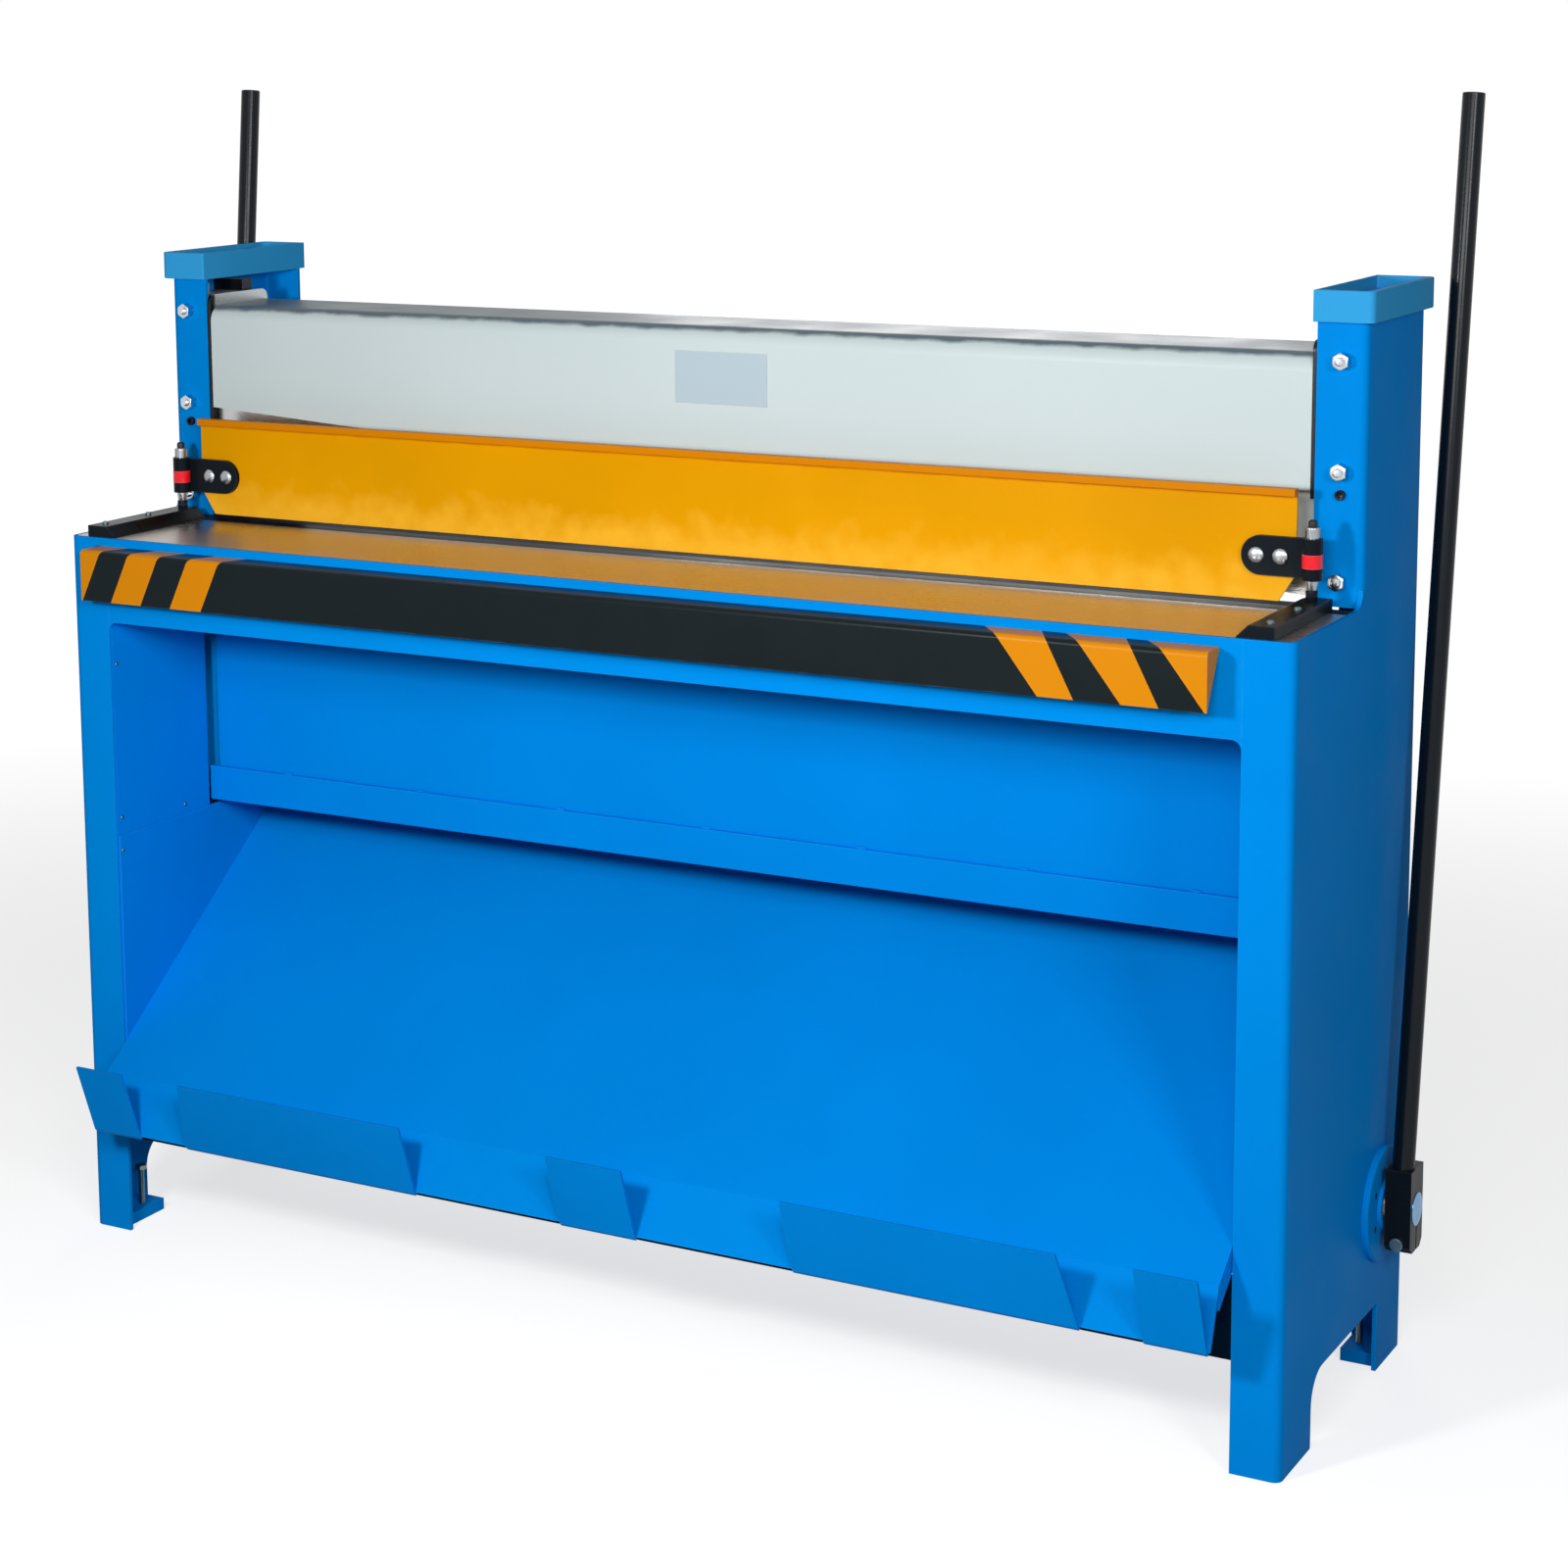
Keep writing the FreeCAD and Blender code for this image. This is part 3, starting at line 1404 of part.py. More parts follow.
def gibs():
    """Front guide strips, rear guide bars, and the bolts that set the strips."""
    strips = []
    bars = []
    bolts = []
    screws = []
    for side in SIDES:
        name = SIDE_NAMES[side]
        strip = Solid(f"gib_{name}")
        strip.pad("XZ", column_flange_back, gib_back, [
            (side * gib_inner, gib_bottom),
            (side * gib_outer, gib_bottom),
            (side * gib_outer, gib_top),
            (side * gib_inner, gib_top),
        ])
        holes = [((side * gib_bolt_x, height), dim.gib_bolt_radius)
                 for height in gib_bolt_heights()]
        strip.pocket("XZ", column_flange_back, gib_back, circles=holes)
        strips.append(strip.body)
        bars.append(box(f"rear_guide_{name}", across(side, gib_inner, wall_inside),
                        (rear_guide_front, rear_guide_back), (gib_bottom, gib_top)))
        nut_front = dim.column_setback - dim.gib_nut_height
        for number, height in enumerate(gib_bolt_heights()):
            spot = (side * gib_bolt_x, height)
            tip = rod(f"gib_tip_{name}_{number}", "y", spot, dim.gib_bolt_tip_radius,
                      nut_front - dim.gib_bolt_tip_length, nut_front)
            nut = hexagon(f"gib_nut_{name}_{number}", "y", spot, dim.gib_nut_radius,
                          nut_front, dim.column_setback)
            shank = rod(f"gib_shank_{name}_{number}", "y", spot, dim.gib_bolt_radius,
                        dim.column_setback, gib_back)
            bolts.append(fuse(f"gib_bolt_{name}_{number}", tip, nut, shank))
        screws.append(rod(f"gib_set_screw_{name}", "y", (side * gib_bolt_x, set_screw_height),
                          dim.set_screw_radius, dim.column_setback - dim.set_screw_length,
                          column_flange_back))
    keep(group("gibs", strips), "gibs")
    keep(group("rear_guides", bars), "rear_guides")
    keep(group("gib_bolts", bolts), "gib_bolts")
    keep(group("gib_set_screws", screws), "gib_set_screws")


# shaft, bearings and levers

def bearings():
    """Round flanged bearings with bushings and screws on the side plates."""
    housings = []
    bushings = []
    screws = []
    spot = (pivot_y, dim.pivot_z)
    for side in SIDES:
        name = SIDE_NAMES[side]
        rim_end = half_width + dim.bearing_rim
        rim = rod(f"bearing_rim_{name}", "x", spot, dim.bearing_radius,
                  *across(side, half_width, rim_end))
        slope = [dim.bearing_radius, dim.bearing_radius - dim.bearing_chamfer][::side]
        bevel = cone(f"bearing_bevel_{name}", "x", spot, slope, *across(side, rim_end, bearing_face))
        hub = rod(f"bearing_hub_{name}", "x", spot, dim.hub_radius,
                  *across(side, bearing_face, bearing_end))
        whole = fuse(f"bearing_whole_{name}", rim, bevel, hub)
        holes = [rod(f"bearing_bore_{name}", "x", spot, bushing_radius,
                     *across(side, half_width, bearing_end))]
        for number, place_of_screw in enumerate(bearing_screw_places()):
            holes.append(rod(f"bearing_hole_{name}_{number}", "x", place_of_screw,
                             dim.bearing_screw_radius, *across(side, half_width, bearing_face)))
            screws.append(rod(f"bearing_screw_{name}_{number}", "x", place_of_screw,
                              dim.bearing_screw_radius, *across(side, wall_inside, bearing_face)))
        housings.append(cut(f"bearing_{name}", whole, *holes))
        bush = rod(f"bushing_outside_{name}", "x", spot, bushing_radius,
                   *across(side, wall_inside, bearing_end))
        bore = rod(f"bushing_bore_{name}", "x", spot, dim.shaft_radius + dim.running_play,
                   *across(side, wall_inside, bearing_end))
        bushings.append(cut(f"bushing_{name}", bush, bore))
    keep(group("bearings", housings), "bearings")
    keep(group("bushings", bushings), "bushings")
    keep(group("bearing_screws", screws), "bearing_screws")


def lever_shaft():
    """Shaft across the machine that turns both cranks together."""
    end = block_outer + dim.shaft_end
    keep(rod("lever_shaft", "x", (pivot_y, dim.pivot_z), dim.shaft_radius, -end, end), "lever_shaft")


def on_crank(forward, sideways):
    """A point in the side view, measured along and across the crank arm."""
    along_y = -cosine(dim.crank_angle)
    along_z = sine(dim.crank_angle)
    return (pivot_y + along_y * forward - along_z * sideways,
            dim.pivot_z + along_z * forward + along_y * sideways)


def crank(side):
    """Arm on the shaft that drives one pull rod."""
    name = f"{SIDE_NAMES[side]}_crank"
    arm = Solid(name)
    faces = (side * crank_inner, side * (crank_inner + dim.crank_thickness))
    half = dim.crank_width / 2
    nothing = length(0)
    arm.pad("YZ", *faces, circles=[((pivot_y, dim.pivot_z), dim.crank_hub_radius)])
    arm.pad("YZ", *faces, circles=[((pin_y, pin_z), dim.crank_eye_radius)])
    arm.pad("YZ", *faces, [
        on_crank(nothing, -half),
        on_crank(dim.crank_radius, -half),
        on_crank(dim.crank_radius, half),
        on_crank(nothing, half),
    ])
    arm.pocket("YZ", *faces, circles=[
        ((pivot_y, dim.pivot_z), dim.shaft_radius), ((pin_y, pin_z), dim.pin_radius)])
    keep(arm, name)


def crank_pins():
    """Headed pins in the crank eyes."""
    pins = []
    spot = (pin_y, pin_z)
    head_face = rod_inner - dim.pin_head_gap
    for side in SIDES:
        name = SIDE_NAMES[side]
        pin = rod(f"pin_body_{name}", "x", spot, dim.pin_radius,
                  *across(side, head_face, crank_inner + dim.crank_thickness))
        head = rod(f"pin_head_{name}", "x", spot, dim.pin_head_radius,
                   *across(side, head_face - dim.pin_head_thickness, head_face))
        pins.append(fuse(f"pin_{name}", pin, head))
    keep(group("crank_pins", pins), "crank_pins")


def lever_bar(label, side, radius, start, end):
    """A round bar along the lever, which leans back and splays out a little."""
    lean = dim.lever_lean_angle
    splay = dim.lever_splay_angle
    run = (side * sine(splay), cosine(splay) * sine(lean), cosine(splay) * cosine(lean))
    item = doc.addObject("Part::Cylinder", label)
    turn = math.degrees(math.acos(run[2].value))
    axis = FreeCAD.Vector(-run[1].value, run[0].value, 0)
    item.Placement = FreeCAD.Placement(FreeCAD.Vector(), FreeCAD.Rotation(axis, turn))
    bind(item, "Placement.Rotation.Axis.x", -run[1])
    bind(item, "Placement.Rotation.Axis.y", run[0])
    bind(item, "Placement.Rotation.Angle", Length(turn, f"acos({run[2].formula})"))
    place(item, side * lever_x + start * run[0], lever_axis_y + start * run[1],
          dim.pivot_z + start * run[2])
    bind(item, "Radius", radius)
    bind(item, "Height", end - start)
    return item


def clamp_block(side):
    """Split block that clamps a lever to the shaft."""
    name = SIDE_NAMES[side]
    x_range = across(side, block_inner, block_outer)
    bottom = dim.pivot_z - dim.block_below
    y_range = (pivot_y - dim.block_front, pivot_y + dim.block_rear)
    block = Solid(f"block_{name}")
    block.pad("YZ", *x_range, [
        (y_range[0], bottom + dim.block_chamfer),
        (y_range[0] + dim.block_chamfer, bottom),
        (y_range[1] - dim.block_chamfer, bottom),
        (y_range[1], bottom + dim.block_chamfer),
        (y_range[1], dim.pivot_z + dim.block_above),
        (y_range[0], dim.pivot_z + dim.block_above),
    ])
    bore = rod(f"block_bore_{name}", "x", (pivot_y, dim.pivot_z), dim.shaft_radius, *x_range)
    slit = box(f"block_slit_{name}", x_range,
               (pivot_y - dim.block_slit / 2, pivot_y + dim.block_slit / 2),
               (bottom, dim.pivot_z))
    socket = lever_bar(f"block_socket_{name}", side, dim.lever_radius, dim.lever_start,
                       dim.block_above + dim.lever_start)
    bolt_hole = rod(f"block_bolt_hole_{name}", "y",
                    (side * lever_x, dim.pivot_z - dim.pinch_bolt_drop), dim.pinch_bolt_radius, *y_range)
    keep(cut(f"{name}_clamp_block", block.body, bore, slit, socket, bolt_hole), f"{name}_clamp_block")


def clamp_bolts():
    """Bolts that pinch the clamp blocks."""
    bolts = []
    block_front = pivot_y - dim.block_front
    block_back = pivot_y + dim.block_rear
    for side in SIDES:
        name = SIDE_NAMES[side]
        spot = (side * lever_x, dim.pivot_z - dim.pinch_bolt_drop)
        head = rod(f"pinch_head_{name}", "y", spot, dim.pinch_head_radius,
                   block_front - dim.pinch_head_height, block_front)
        shank = rod(f"pinch_shank_{name}", "y", spot, dim.pinch_bolt_radius, block_front, block_back)
        nut = hexagon(f"pinch_nut_{name}", "y", spot, dim.pinch_head_radius,
                      block_back, block_back + dim.pinch_nut_height)
        bolts.append(fuse(f"pinch_bolt_{name}", head, shank, nut))
    keep(group("clamp_bolts", bolts), "clamp_bolts")


def lever(side):
    """Long round handle, leaning back at rest."""
    name = f"{SIDE_NAMES[side]}_lever"
    keep(lever_bar(name, side, dim.lever_radius, dim.lever_start, dim.lever_reach), name)


# pull rods and gas struts

def pull_rod(side):
    """Flat bar from a guide shoe past the shaft to the crank pin, with a slotted eye."""
    name = f"{SIDE_NAMES[side]}_pull_rod"
    bar = Solid(name)
    faces = (side * rod_inner, side * (rod_inner + dim.rod_thickness))
    half = dim.rod_width / 2
    # the pin swings forward of its end places by this much at the middle of the stroke
    pin_sway = dim.crank_radius * (1 - cosine(dim.crank_angle))
    slot_y = pin_y - pin_sway / 2
    slot_half = pin_sway / 2 + dim.slot_play
    slot_radius = dim.pin_radius + dim.slot_lift
    bar.pad("YZ", *faces, [
        (rod_y - half, rod_knee),
        (rod_y + half, rod_knee),
        (rod_y + half, shoe_bottom),
        (rod_y - half, shoe_bottom),
    ])
    bar.pad("YZ", *faces, circles=[((rod_y, rod_knee), half)])
    # the slanting part runs from the knee to the middle of the slot
    run = rod_y - slot_y
    rise = rod_knee - pin_z
    slant = math.degrees(math.atan2(run.value, rise.value))
    slant_size = Length(slant, f"atan2({run.formula}; {rise.formula})")
    off_y = half * cosine(slant_size)
    off_z = half * sine(slant_size)
    bar.pad("YZ", *faces, [
        (rod_y - off_y, rod_knee + off_z),
        (slot_y - off_y, pin_z + off_z),
        (slot_y + off_y, pin_z - off_z),
        (rod_y + off_y, rod_knee - off_z),
    ])
    eye_half = slot_half + slot_radius + dim.eye_wall
    eye_rise = slot_radius + dim.eye_wall
    bar.pad("YZ", *faces, [
        (slot_y - eye_half, pin_z - eye_rise, dim.eye_wall),
        (slot_y + eye_half, pin_z - eye_rise, dim.eye_wall),
        (slot_y + eye_half, pin_z + eye_rise, dim.eye_wall),
        (slot_y - eye_half, pin_z + eye_rise, dim.eye_wall),
    ])
    bar.pocket("YZ", *faces, [
        (slot_y - slot_half, pin_z - slot_radius),
        (slot_y + slot_half, pin_z - slot_radius),
        (slot_y + slot_half, pin_z + slot_radius),
        (slot_y - slot_half, pin_z + slot_radius),
    ])
    for end in (-1, 1):
        bar.pocket("YZ", *faces, circles=[((slot_y + end * slot_half, pin_z), slot_radius)])
    keep(bar, name)


def gas_struts():
    """Cylinders on the side plates, with rods that push the beam up."""
    cylinders = []
    rods = []
    for side in SIDES:
        name = SIDE_NAMES[side]
        spot = (side * strut_x, strut_y)
        y_range = (strut_y - dim.strut_radius, strut_y + dim.strut_radius)
        top = strut_bottom + dim.strut_length
        tube = rod(f"strut_tube_{name}", "z", spot, dim.strut_radius, strut_bottom, top)
        foot = box(f"strut_foot_{name}", across(side, strut_x - dim.strut_radius, wall_inside),
                   y_range, (strut_bottom - dim.strut_foot_height, strut_bottom))
        bore = rod(f"strut_bore_{name}", "z", spot, dim.strut_rod_radius + dim.running_play,
                   strut_bottom + dim.strut_floor, top)
        cylinders.append(cut(f"strut_{name}", fuse(f"strut_whole_{name}", tube, foot), bore))
        piston = rod(f"strut_piston_{name}", "z", spot, dim.strut_rod_radius,
                     strut_rod_bottom, strut_rod_top)
        lug = box(f"strut_lug_{name}",
                  across(side, slide_plate_outer, strut_x + dim.strut_radius), y_range,
                  (strut_rod_top, strut_rod_top + dim.strut_lug_height))
        rods.append(fuse(f"strut_rod_{name}", piston, lug))
    keep(group("strut_cylinders", cylinders), "strut_cylinders")
    keep(group("strut_rods", rods), "strut_rods")


# the whole machine

for machine_side in SIDES:
    side_frame(machine_side)
    cap(machine_side)
    chute_cheek(machine_side)
    side_lining(machine_side)
    side_gauge(machine_side)
    bracket(machine_side)
    crank(machine_side)
    clamp_block(machine_side)
    lever(machine_side)
    pull_rod(machine_side)

front_beam()
table_top()
lower_blade_beam()
ledge_rail()
lower_blade()
chute()
rear_tie()
lower_tie()
feet()
hazard_guard()
gauge_fittings()
guide_posts()
red_bands()
guard_panel()
bracket_bolts()
hold_down_bar()
upper_blade()
blade_carrier()
blade_beam()
beam_ribs()
blank_plate()
slide_plates_and_shoes()
gibs()
bearings()
lever_shaft()
crank_pins()
clamp_bolts()
gas_struts()

doc.recompute()
for item in doc.Objects:
    if "Invalid" in item.State or "Error" in item.State:
        raise ValueError(f"{item.Label} failed: {item.State}")
for item in pieces:
    if item.Shape.isNull() or not item.Shape.isValid():
        raise ValueError(f"{item.Label} has no valid shape")

os.makedirs("parts", exist_ok=True)
for item in pieces:
    item.Shape.exportStep(os.path.join("parts", f"{item.Label}.step"))
print(len(pieces), "pieces, front plane at", round(front.value, 3))
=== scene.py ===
import math

import bmesh
import bpy
from mathutils import Matrix, Vector


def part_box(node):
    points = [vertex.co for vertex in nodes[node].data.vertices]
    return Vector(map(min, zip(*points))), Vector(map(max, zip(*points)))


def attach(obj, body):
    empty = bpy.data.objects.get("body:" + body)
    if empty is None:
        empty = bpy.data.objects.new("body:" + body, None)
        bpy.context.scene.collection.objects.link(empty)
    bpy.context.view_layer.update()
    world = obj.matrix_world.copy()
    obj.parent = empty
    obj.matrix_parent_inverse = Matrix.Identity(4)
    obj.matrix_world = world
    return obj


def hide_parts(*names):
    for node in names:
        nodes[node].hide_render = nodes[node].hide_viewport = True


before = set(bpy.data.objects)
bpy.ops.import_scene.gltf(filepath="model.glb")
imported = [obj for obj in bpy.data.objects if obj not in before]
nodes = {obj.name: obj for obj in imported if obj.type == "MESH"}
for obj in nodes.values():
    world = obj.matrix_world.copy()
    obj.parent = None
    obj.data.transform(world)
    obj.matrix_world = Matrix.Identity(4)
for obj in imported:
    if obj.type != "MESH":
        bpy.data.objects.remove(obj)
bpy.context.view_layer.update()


# Side frames: one bent steel plate on each side with the column and both legs in one piece.
# Cut from 6 mm sheet, pressed to shape and powder coated in blue.
def shade(red, green, blue):
    """A colour of 0 to 255 as the light it gives back."""
    parts = []
    for value in (red, green, blue):
        part = value / 255
        parts.append(part / 12.92 if part <= 0.04045 else ((part + 0.055) / 1.055) ** 2.4)
    return (*parts, 1.0)


def tones(colour, spread):
    """A darker and a lighter tone of a colour."""
    dark = [part * (1 - spread) for part in colour[:3]] + [1.0]
    light = [min(1.0, part * (1 + spread)) for part in colour[:3]] + [1.0]
    return dark, light


def add_node(tree, kind, inputs=None, **settings):
    """A shader node with its inputs set or linked."""
    node = tree.nodes.new("ShaderNode" + kind)
    for name, value in settings.items():
        setattr(node, name, value)
    for name, value in (inputs or {}).items():
        if isinstance(value, bpy.types.NodeSocket):
            tree.links.new(value, node.inputs[name])
        else:
            node.inputs[name].default_value = value
    return node


def shader_of(material):
    """The node that gives a material its surface."""
    return next(node for node in material.node_tree.nodes if node.type == "BSDF_PRINCIPLED")


def new_finish(name):
    """A material with its tree, its shader and the place on the machine."""
    material = bpy.data.materials.new(name)
    material.use_nodes = True
    tree = material.node_tree
    place = add_node(tree, "TexCoord").outputs["Object"]
    return material, tree, shader_of(material), place


def rescaled(tree, value, start, end, low=0.0, high=1.0, **settings):
    """A value that runs from start to end, laid out from low to high."""
    limits = {"Value": value, "From Min": start, "From Max": end, "To Min": low, "To Max": high}
    return add_node(tree, "MapRange", limits, **settings).outputs["Result"]


def clouds(tree, place, scale, low, high, detail=4.0, stretch=(1.0, 1.0, 1.0)):
    """Cloudy unevenness between two values; stretch draws it out into streaks."""
    grid = add_node(tree, "Mapping", {"Vector": place, "Scale": stretch}).outputs["Vector"]
    noise = add_node(tree, "TexNoise", {"Vector": grid, "Scale": scale, "Detail": detail})
    darkest = 0.3
    lightest = 0.7
    return rescaled(tree, noise.outputs["Fac"], darkest, lightest, low, high)


def calculate(tree, operation, first, second=0.0):
    """The result of a sum on two values or sockets."""
    return add_node(tree, "Math", {0: first, 1: second}, operation=operation).outputs["Value"]


def mix_colours(tree, share, first, second):
    """The first colour, giving way to the second as the share grows."""
    mixer = add_node(tree, "Mix", {0: share, 6: first, 7: second}, data_type="RGBA")
    return mixer.outputs[2]


def edge_strip(tree, radius):
    """One along the edges within the radius, nought on the flats."""
    rounded = add_node(tree, "Bevel", {"Radius": radius}, samples=4).outputs["Normal"]
    flat = add_node(tree, "NewGeometry").outputs["Normal"]
    turn = add_node(tree, "VectorMath", {0: rounded, 1: flat}, operation="DOT_PRODUCT")
    turn_on_flats = 0.995
    turn_on_edges = 0.9
    return rescaled(tree, turn.outputs["Value"], turn_on_flats, turn_on_edges)


def relief(tree, height, strength, depth):
    """Fine unevenness of a surface, from a height of nought to one."""
    levels = {"Height": height, "Strength": strength, "Distance": depth}
    return add_node(tree, "Bump", levels).outputs["Normal"]


def coat(name, colour, worn_and_highlit, roughness, shine=1.2, spread=0.05, depth=0.00012):
    """Sprayed and baked paint: a little cloudy, fine orange peel, paler along edges for rubbed paint and
    a painted highlight.
    """
    colour_clouds = 3
    gloss_clouds = 12
    gloss_change = 0.05
    rubbed_width = 0.002
    rubbed_spots = 45
    orange_peel = 320
    peel_strength = 0.35
    material, tree, shader, place = new_finish(name)
    dark, light = tones(colour, spread)
    body = mix_colours(tree, clouds(tree, place, colour_clouds, 0, 1), dark, light)
    spots = clouds(tree, place, rubbed_spots, 0.1, 0.7)
    # Paler edges: rubbed paint, and a painted highlight where rounded edges catch the light.
    rubbed = calculate(tree, "MULTIPLY", edge_strip(tree, rubbed_width), spots)
    tree.links.new(mix_colours(tree, rubbed, body, worn_and_highlit), shader.inputs["Base Color"])
    gloss = clouds(tree, place, gloss_clouds, roughness - gloss_change, roughness + gloss_change)
    tree.links.new(gloss, shader.inputs["Roughness"])
    grain = clouds(tree, place, orange_peel, 0, 1, detail=2)
    tree.links.new(relief(tree, grain, peel_strength, depth), shader.inputs["Normal"])
    shader.inputs["IOR"].default_value = shine
    return material


def tint_beyond(material, axis, start, end, colour):
    """Another tone for the part of a piece past a place on an axis, with a slightly ragged border."""
    border_waves = 30
    border_reach = abs(end - start) * 0.4
    tree = material.node_tree
    base = shader_of(material).inputs["Base Color"]
    place = add_node(tree, "TexCoord").outputs["Object"]
    along = add_node(tree, "SeparateXYZ", {"Vector": place}).outputs[axis]
    waves = clouds(tree, place, border_waves, -border_reach, border_reach)
    share = rescaled(tree, calculate(tree, "ADD", along, waves), start, end)
    tree.links.new(mix_colours(tree, share, base.links[0].from_socket, colour), base)
    return share


same_point = 0.00001


def dress(names, material, rounding, whole=True):
    """Gives nodes of the frame their finish and takes the sharpness off their edges."""
    for name in names:
        piece = nodes[name]
        for slot in piece.material_slots:
            slot.material = material
        weld = piece.modifiers.new("joined faces", "WELD")
        weld.merge_threshold = same_point
        if whole:
            flat = piece.modifiers.new("whole faces", "DECIMATE")
            flat.decimate_type = "DISSOLVE"
            flat.angle_limit = math.radians(1)
        edge = piece.modifiers.new("soft edges", "BEVEL")
        edge.width = rounding
        edge.segments = 2
        edge.limit_method = "ANGLE"
        edge.angle_limit = math.radians(35)
        edge.use_clamp_overlap = True
        flats = piece.modifiers.new("flat faces", "WEIGHTED_NORMAL")
        flats.keep_sharp = True


blue = (0.0, 0.243, 0.73, 1)
# Paler blue for the edges: rubbed paint and a painted highlight on the bends.
rubbed_and_highlit_blue = (0.02, 0.29, 0.78, 1)
blue_coat = coat("blue_powder_coat", blue, rubbed_and_highlit_blue, roughness=0.45, shine=1.05)
dress(["left_side_frame", "right_side_frame"], blue_coat, rounding=0.0012)


# Levelling feet: a thick plate welded in the bottom of each leg, with a long bolt screwed through it.
# The plates are painted with the frame; the bolts are zinc plated, with the hexagon head on top.
def plated(name, colour, roughness, streaks=(1.0, 1.0, 1.0), spread=0.06, scale=40):
    """Bare or plated metal, a little uneven in colour and gloss, brighter where edges are rubbed."""
    rubbed_width = 0.001
    rubbed_spots = 90
    rubbed_tone = 0.25
    grain_strength = 0.3
    grain_depth = 0.00003
    material, tree, shader, place = new_finish(name)
    dark, light = tones(colour, spread)
    body = mix_colours(tree, clouds(tree, place, scale, 0, 1, stretch=streaks), dark, light)
    bright = tones(colour, rubbed_tone)[1]
    spots = clouds(tree, place, rubbed_spots, 0.2, 0.8)
    rubbed = calculate(tree, "MULTIPLY", edge_strip(tree, rubbed_width), spots)
    tree.links.new(mix_colours(tree, rubbed, body, bright), shader.inputs["Base Color"])
    gloss = clouds(tree, place, scale * 2, roughness * 0.75, roughness * 1.25, stretch=streaks)
    tree.links.new(gloss, shader.inputs["Roughness"])
    grain = clouds(tree, place, scale * 12, 0, 1, detail=3, stretch=streaks)
    tree.links.new(relief(tree, grain, grain_strength, grain_depth), shader.inputs["Normal"])
    shader.inputs["Metallic"].default_value = 1.0
    return material


def solids_of(node):
    """Lowest and highest corner of each solid in a node of the frame."""
    shape = bmesh.new()
    shape.from_mesh(nodes[node].data)
    bmesh.ops.remove_doubles(shape, verts=shape.verts, dist=same_point)
    seen = set()
    found = []
    for start in shape.verts:
        if start in seen:
            continue
        seen.add(start)
        grown = [start]
        for vertex in grown:
            for edge in vertex.link_edges:
                other = edge.other_vert(vertex)
                if other not in seen:
                    seen.add(other)
                    grown.append(other)
        low = Vector([min(vertex.co[axis] for vertex in grown) for axis in range(3)])
        high = Vector([max(vertex.co[axis] for vertex in grown) for axis in range(3)])
        found.append((low, high))
    shape.free()
    return sorted(found, key=lambda corners: tuple(round(value, 4) for value in corners[0]))


def turned(rings, sides=48, hollow=False):
    """Points and faces of rings round an upright axis; radius and height may follow the angle."""
    points = []
    faces = []
    for radius, height in rings:
        for side in range(sides):
            angle = 2 * math.pi * side / sides
            reach = radius(angle) if callable(radius) else radius
            level = height(angle) if callable(height) else height
            points.append(Vector((reach * math.cos(angle), reach * math.sin(angle), level)))
    count = len(rings)
    for ring in range(count if hollow else count - 1):
        above = (ring + 1) % count
        for side in range(sides):
            beside = (side + 1) % sides
            faces.append((ring * sides + side, ring * sides + beside,
                          above * sides + beside, above * sides + side))
    if not hollow:
        faces.append(tuple(reversed(range(sides))))
        faces.append(tuple(range((count - 1) * sides, count * sides)))
    return points, faces


def joined(shapes):
    """Several shapes, each with its placing, as one list of points and faces."""
    points = []
    faces = []
    for (own_points, own_faces), placing in shapes:
        first = len(points)
        points += [placing @ point for point in own_points]
        faces += [tuple(first + corner for corner in face) for face in own_faces]
    return points, faces


def make_piece(name, shape, material, body, stands_for=()):
    """A mesh from points and faces, with its finish, on its body of the frame."""
    mesh = bpy.data.meshes.new(name)
    mesh.from_pydata([tuple(point) for point in shape[0]], [], shape[1])
    mesh.validate()
    mesh.materials.append(material)
    mesh.polygons.foreach_set("use_smooth", [True] * len(mesh.polygons))
    mesh.set_sharp_from_angle(angle=math.radians(32))
    piece = bpy.data.objects.new(name, mesh)
    bpy.context.scene.collection.objects.link(piece)
    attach(piece, body)
    if stands_for:
        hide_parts(*stands_for)


def standing(low, high):
    """Placing for a turned piece that stands upright on the lowest face of a solid."""
    return Matrix.Translation(((low.x + high.x) / 2, (low.y + high.y) / 2, low.z))


def hexagon(across_flats):
    """Radius of a hexagon at an angle."""
    flat = across_flats / 2

    def radius(angle):
        return flat / math.cos((angle + math.pi / 6) % (math.pi / 3) - math.pi / 6)

    return radius


def thread_rings(bottom, top, radius, pitch):
    """Rings of a screw thread from one height to another."""
    depth = pitch * 0.55
    rings_per_turn = 4
    steps = max(2, round((top - bottom) / pitch * rings_per_turn))

    def winding(level):
        def reach(angle):
            turn = (level / pitch - angle / (2 * math.pi)) % 1.0
            return radius - depth * abs(2 * turn - 1)
        return reach

    rings = []
    for step in range(steps + 1):
        level = bottom + (top - bottom) * step / steps
        rings.append((winding(level), level))
    return rings


def nut_rings(across_flats, bottom, top, bore):
    """Rings of a hexagon nut with both faces chamfered round."""
    corner = hexagon(across_flats)
    face = across_flats / 2 * 0.96
    chamfer_slope = 0.577

    def lower(angle):
        return bottom + (corner(angle) - face) * chamfer_slope

    def upper(angle):
        return top - (corner(angle) - face) * chamfer_slope

    return [(bore, bottom), (face, bottom), (corner, lower), (corner, upper), (face, top), (bore, top)]


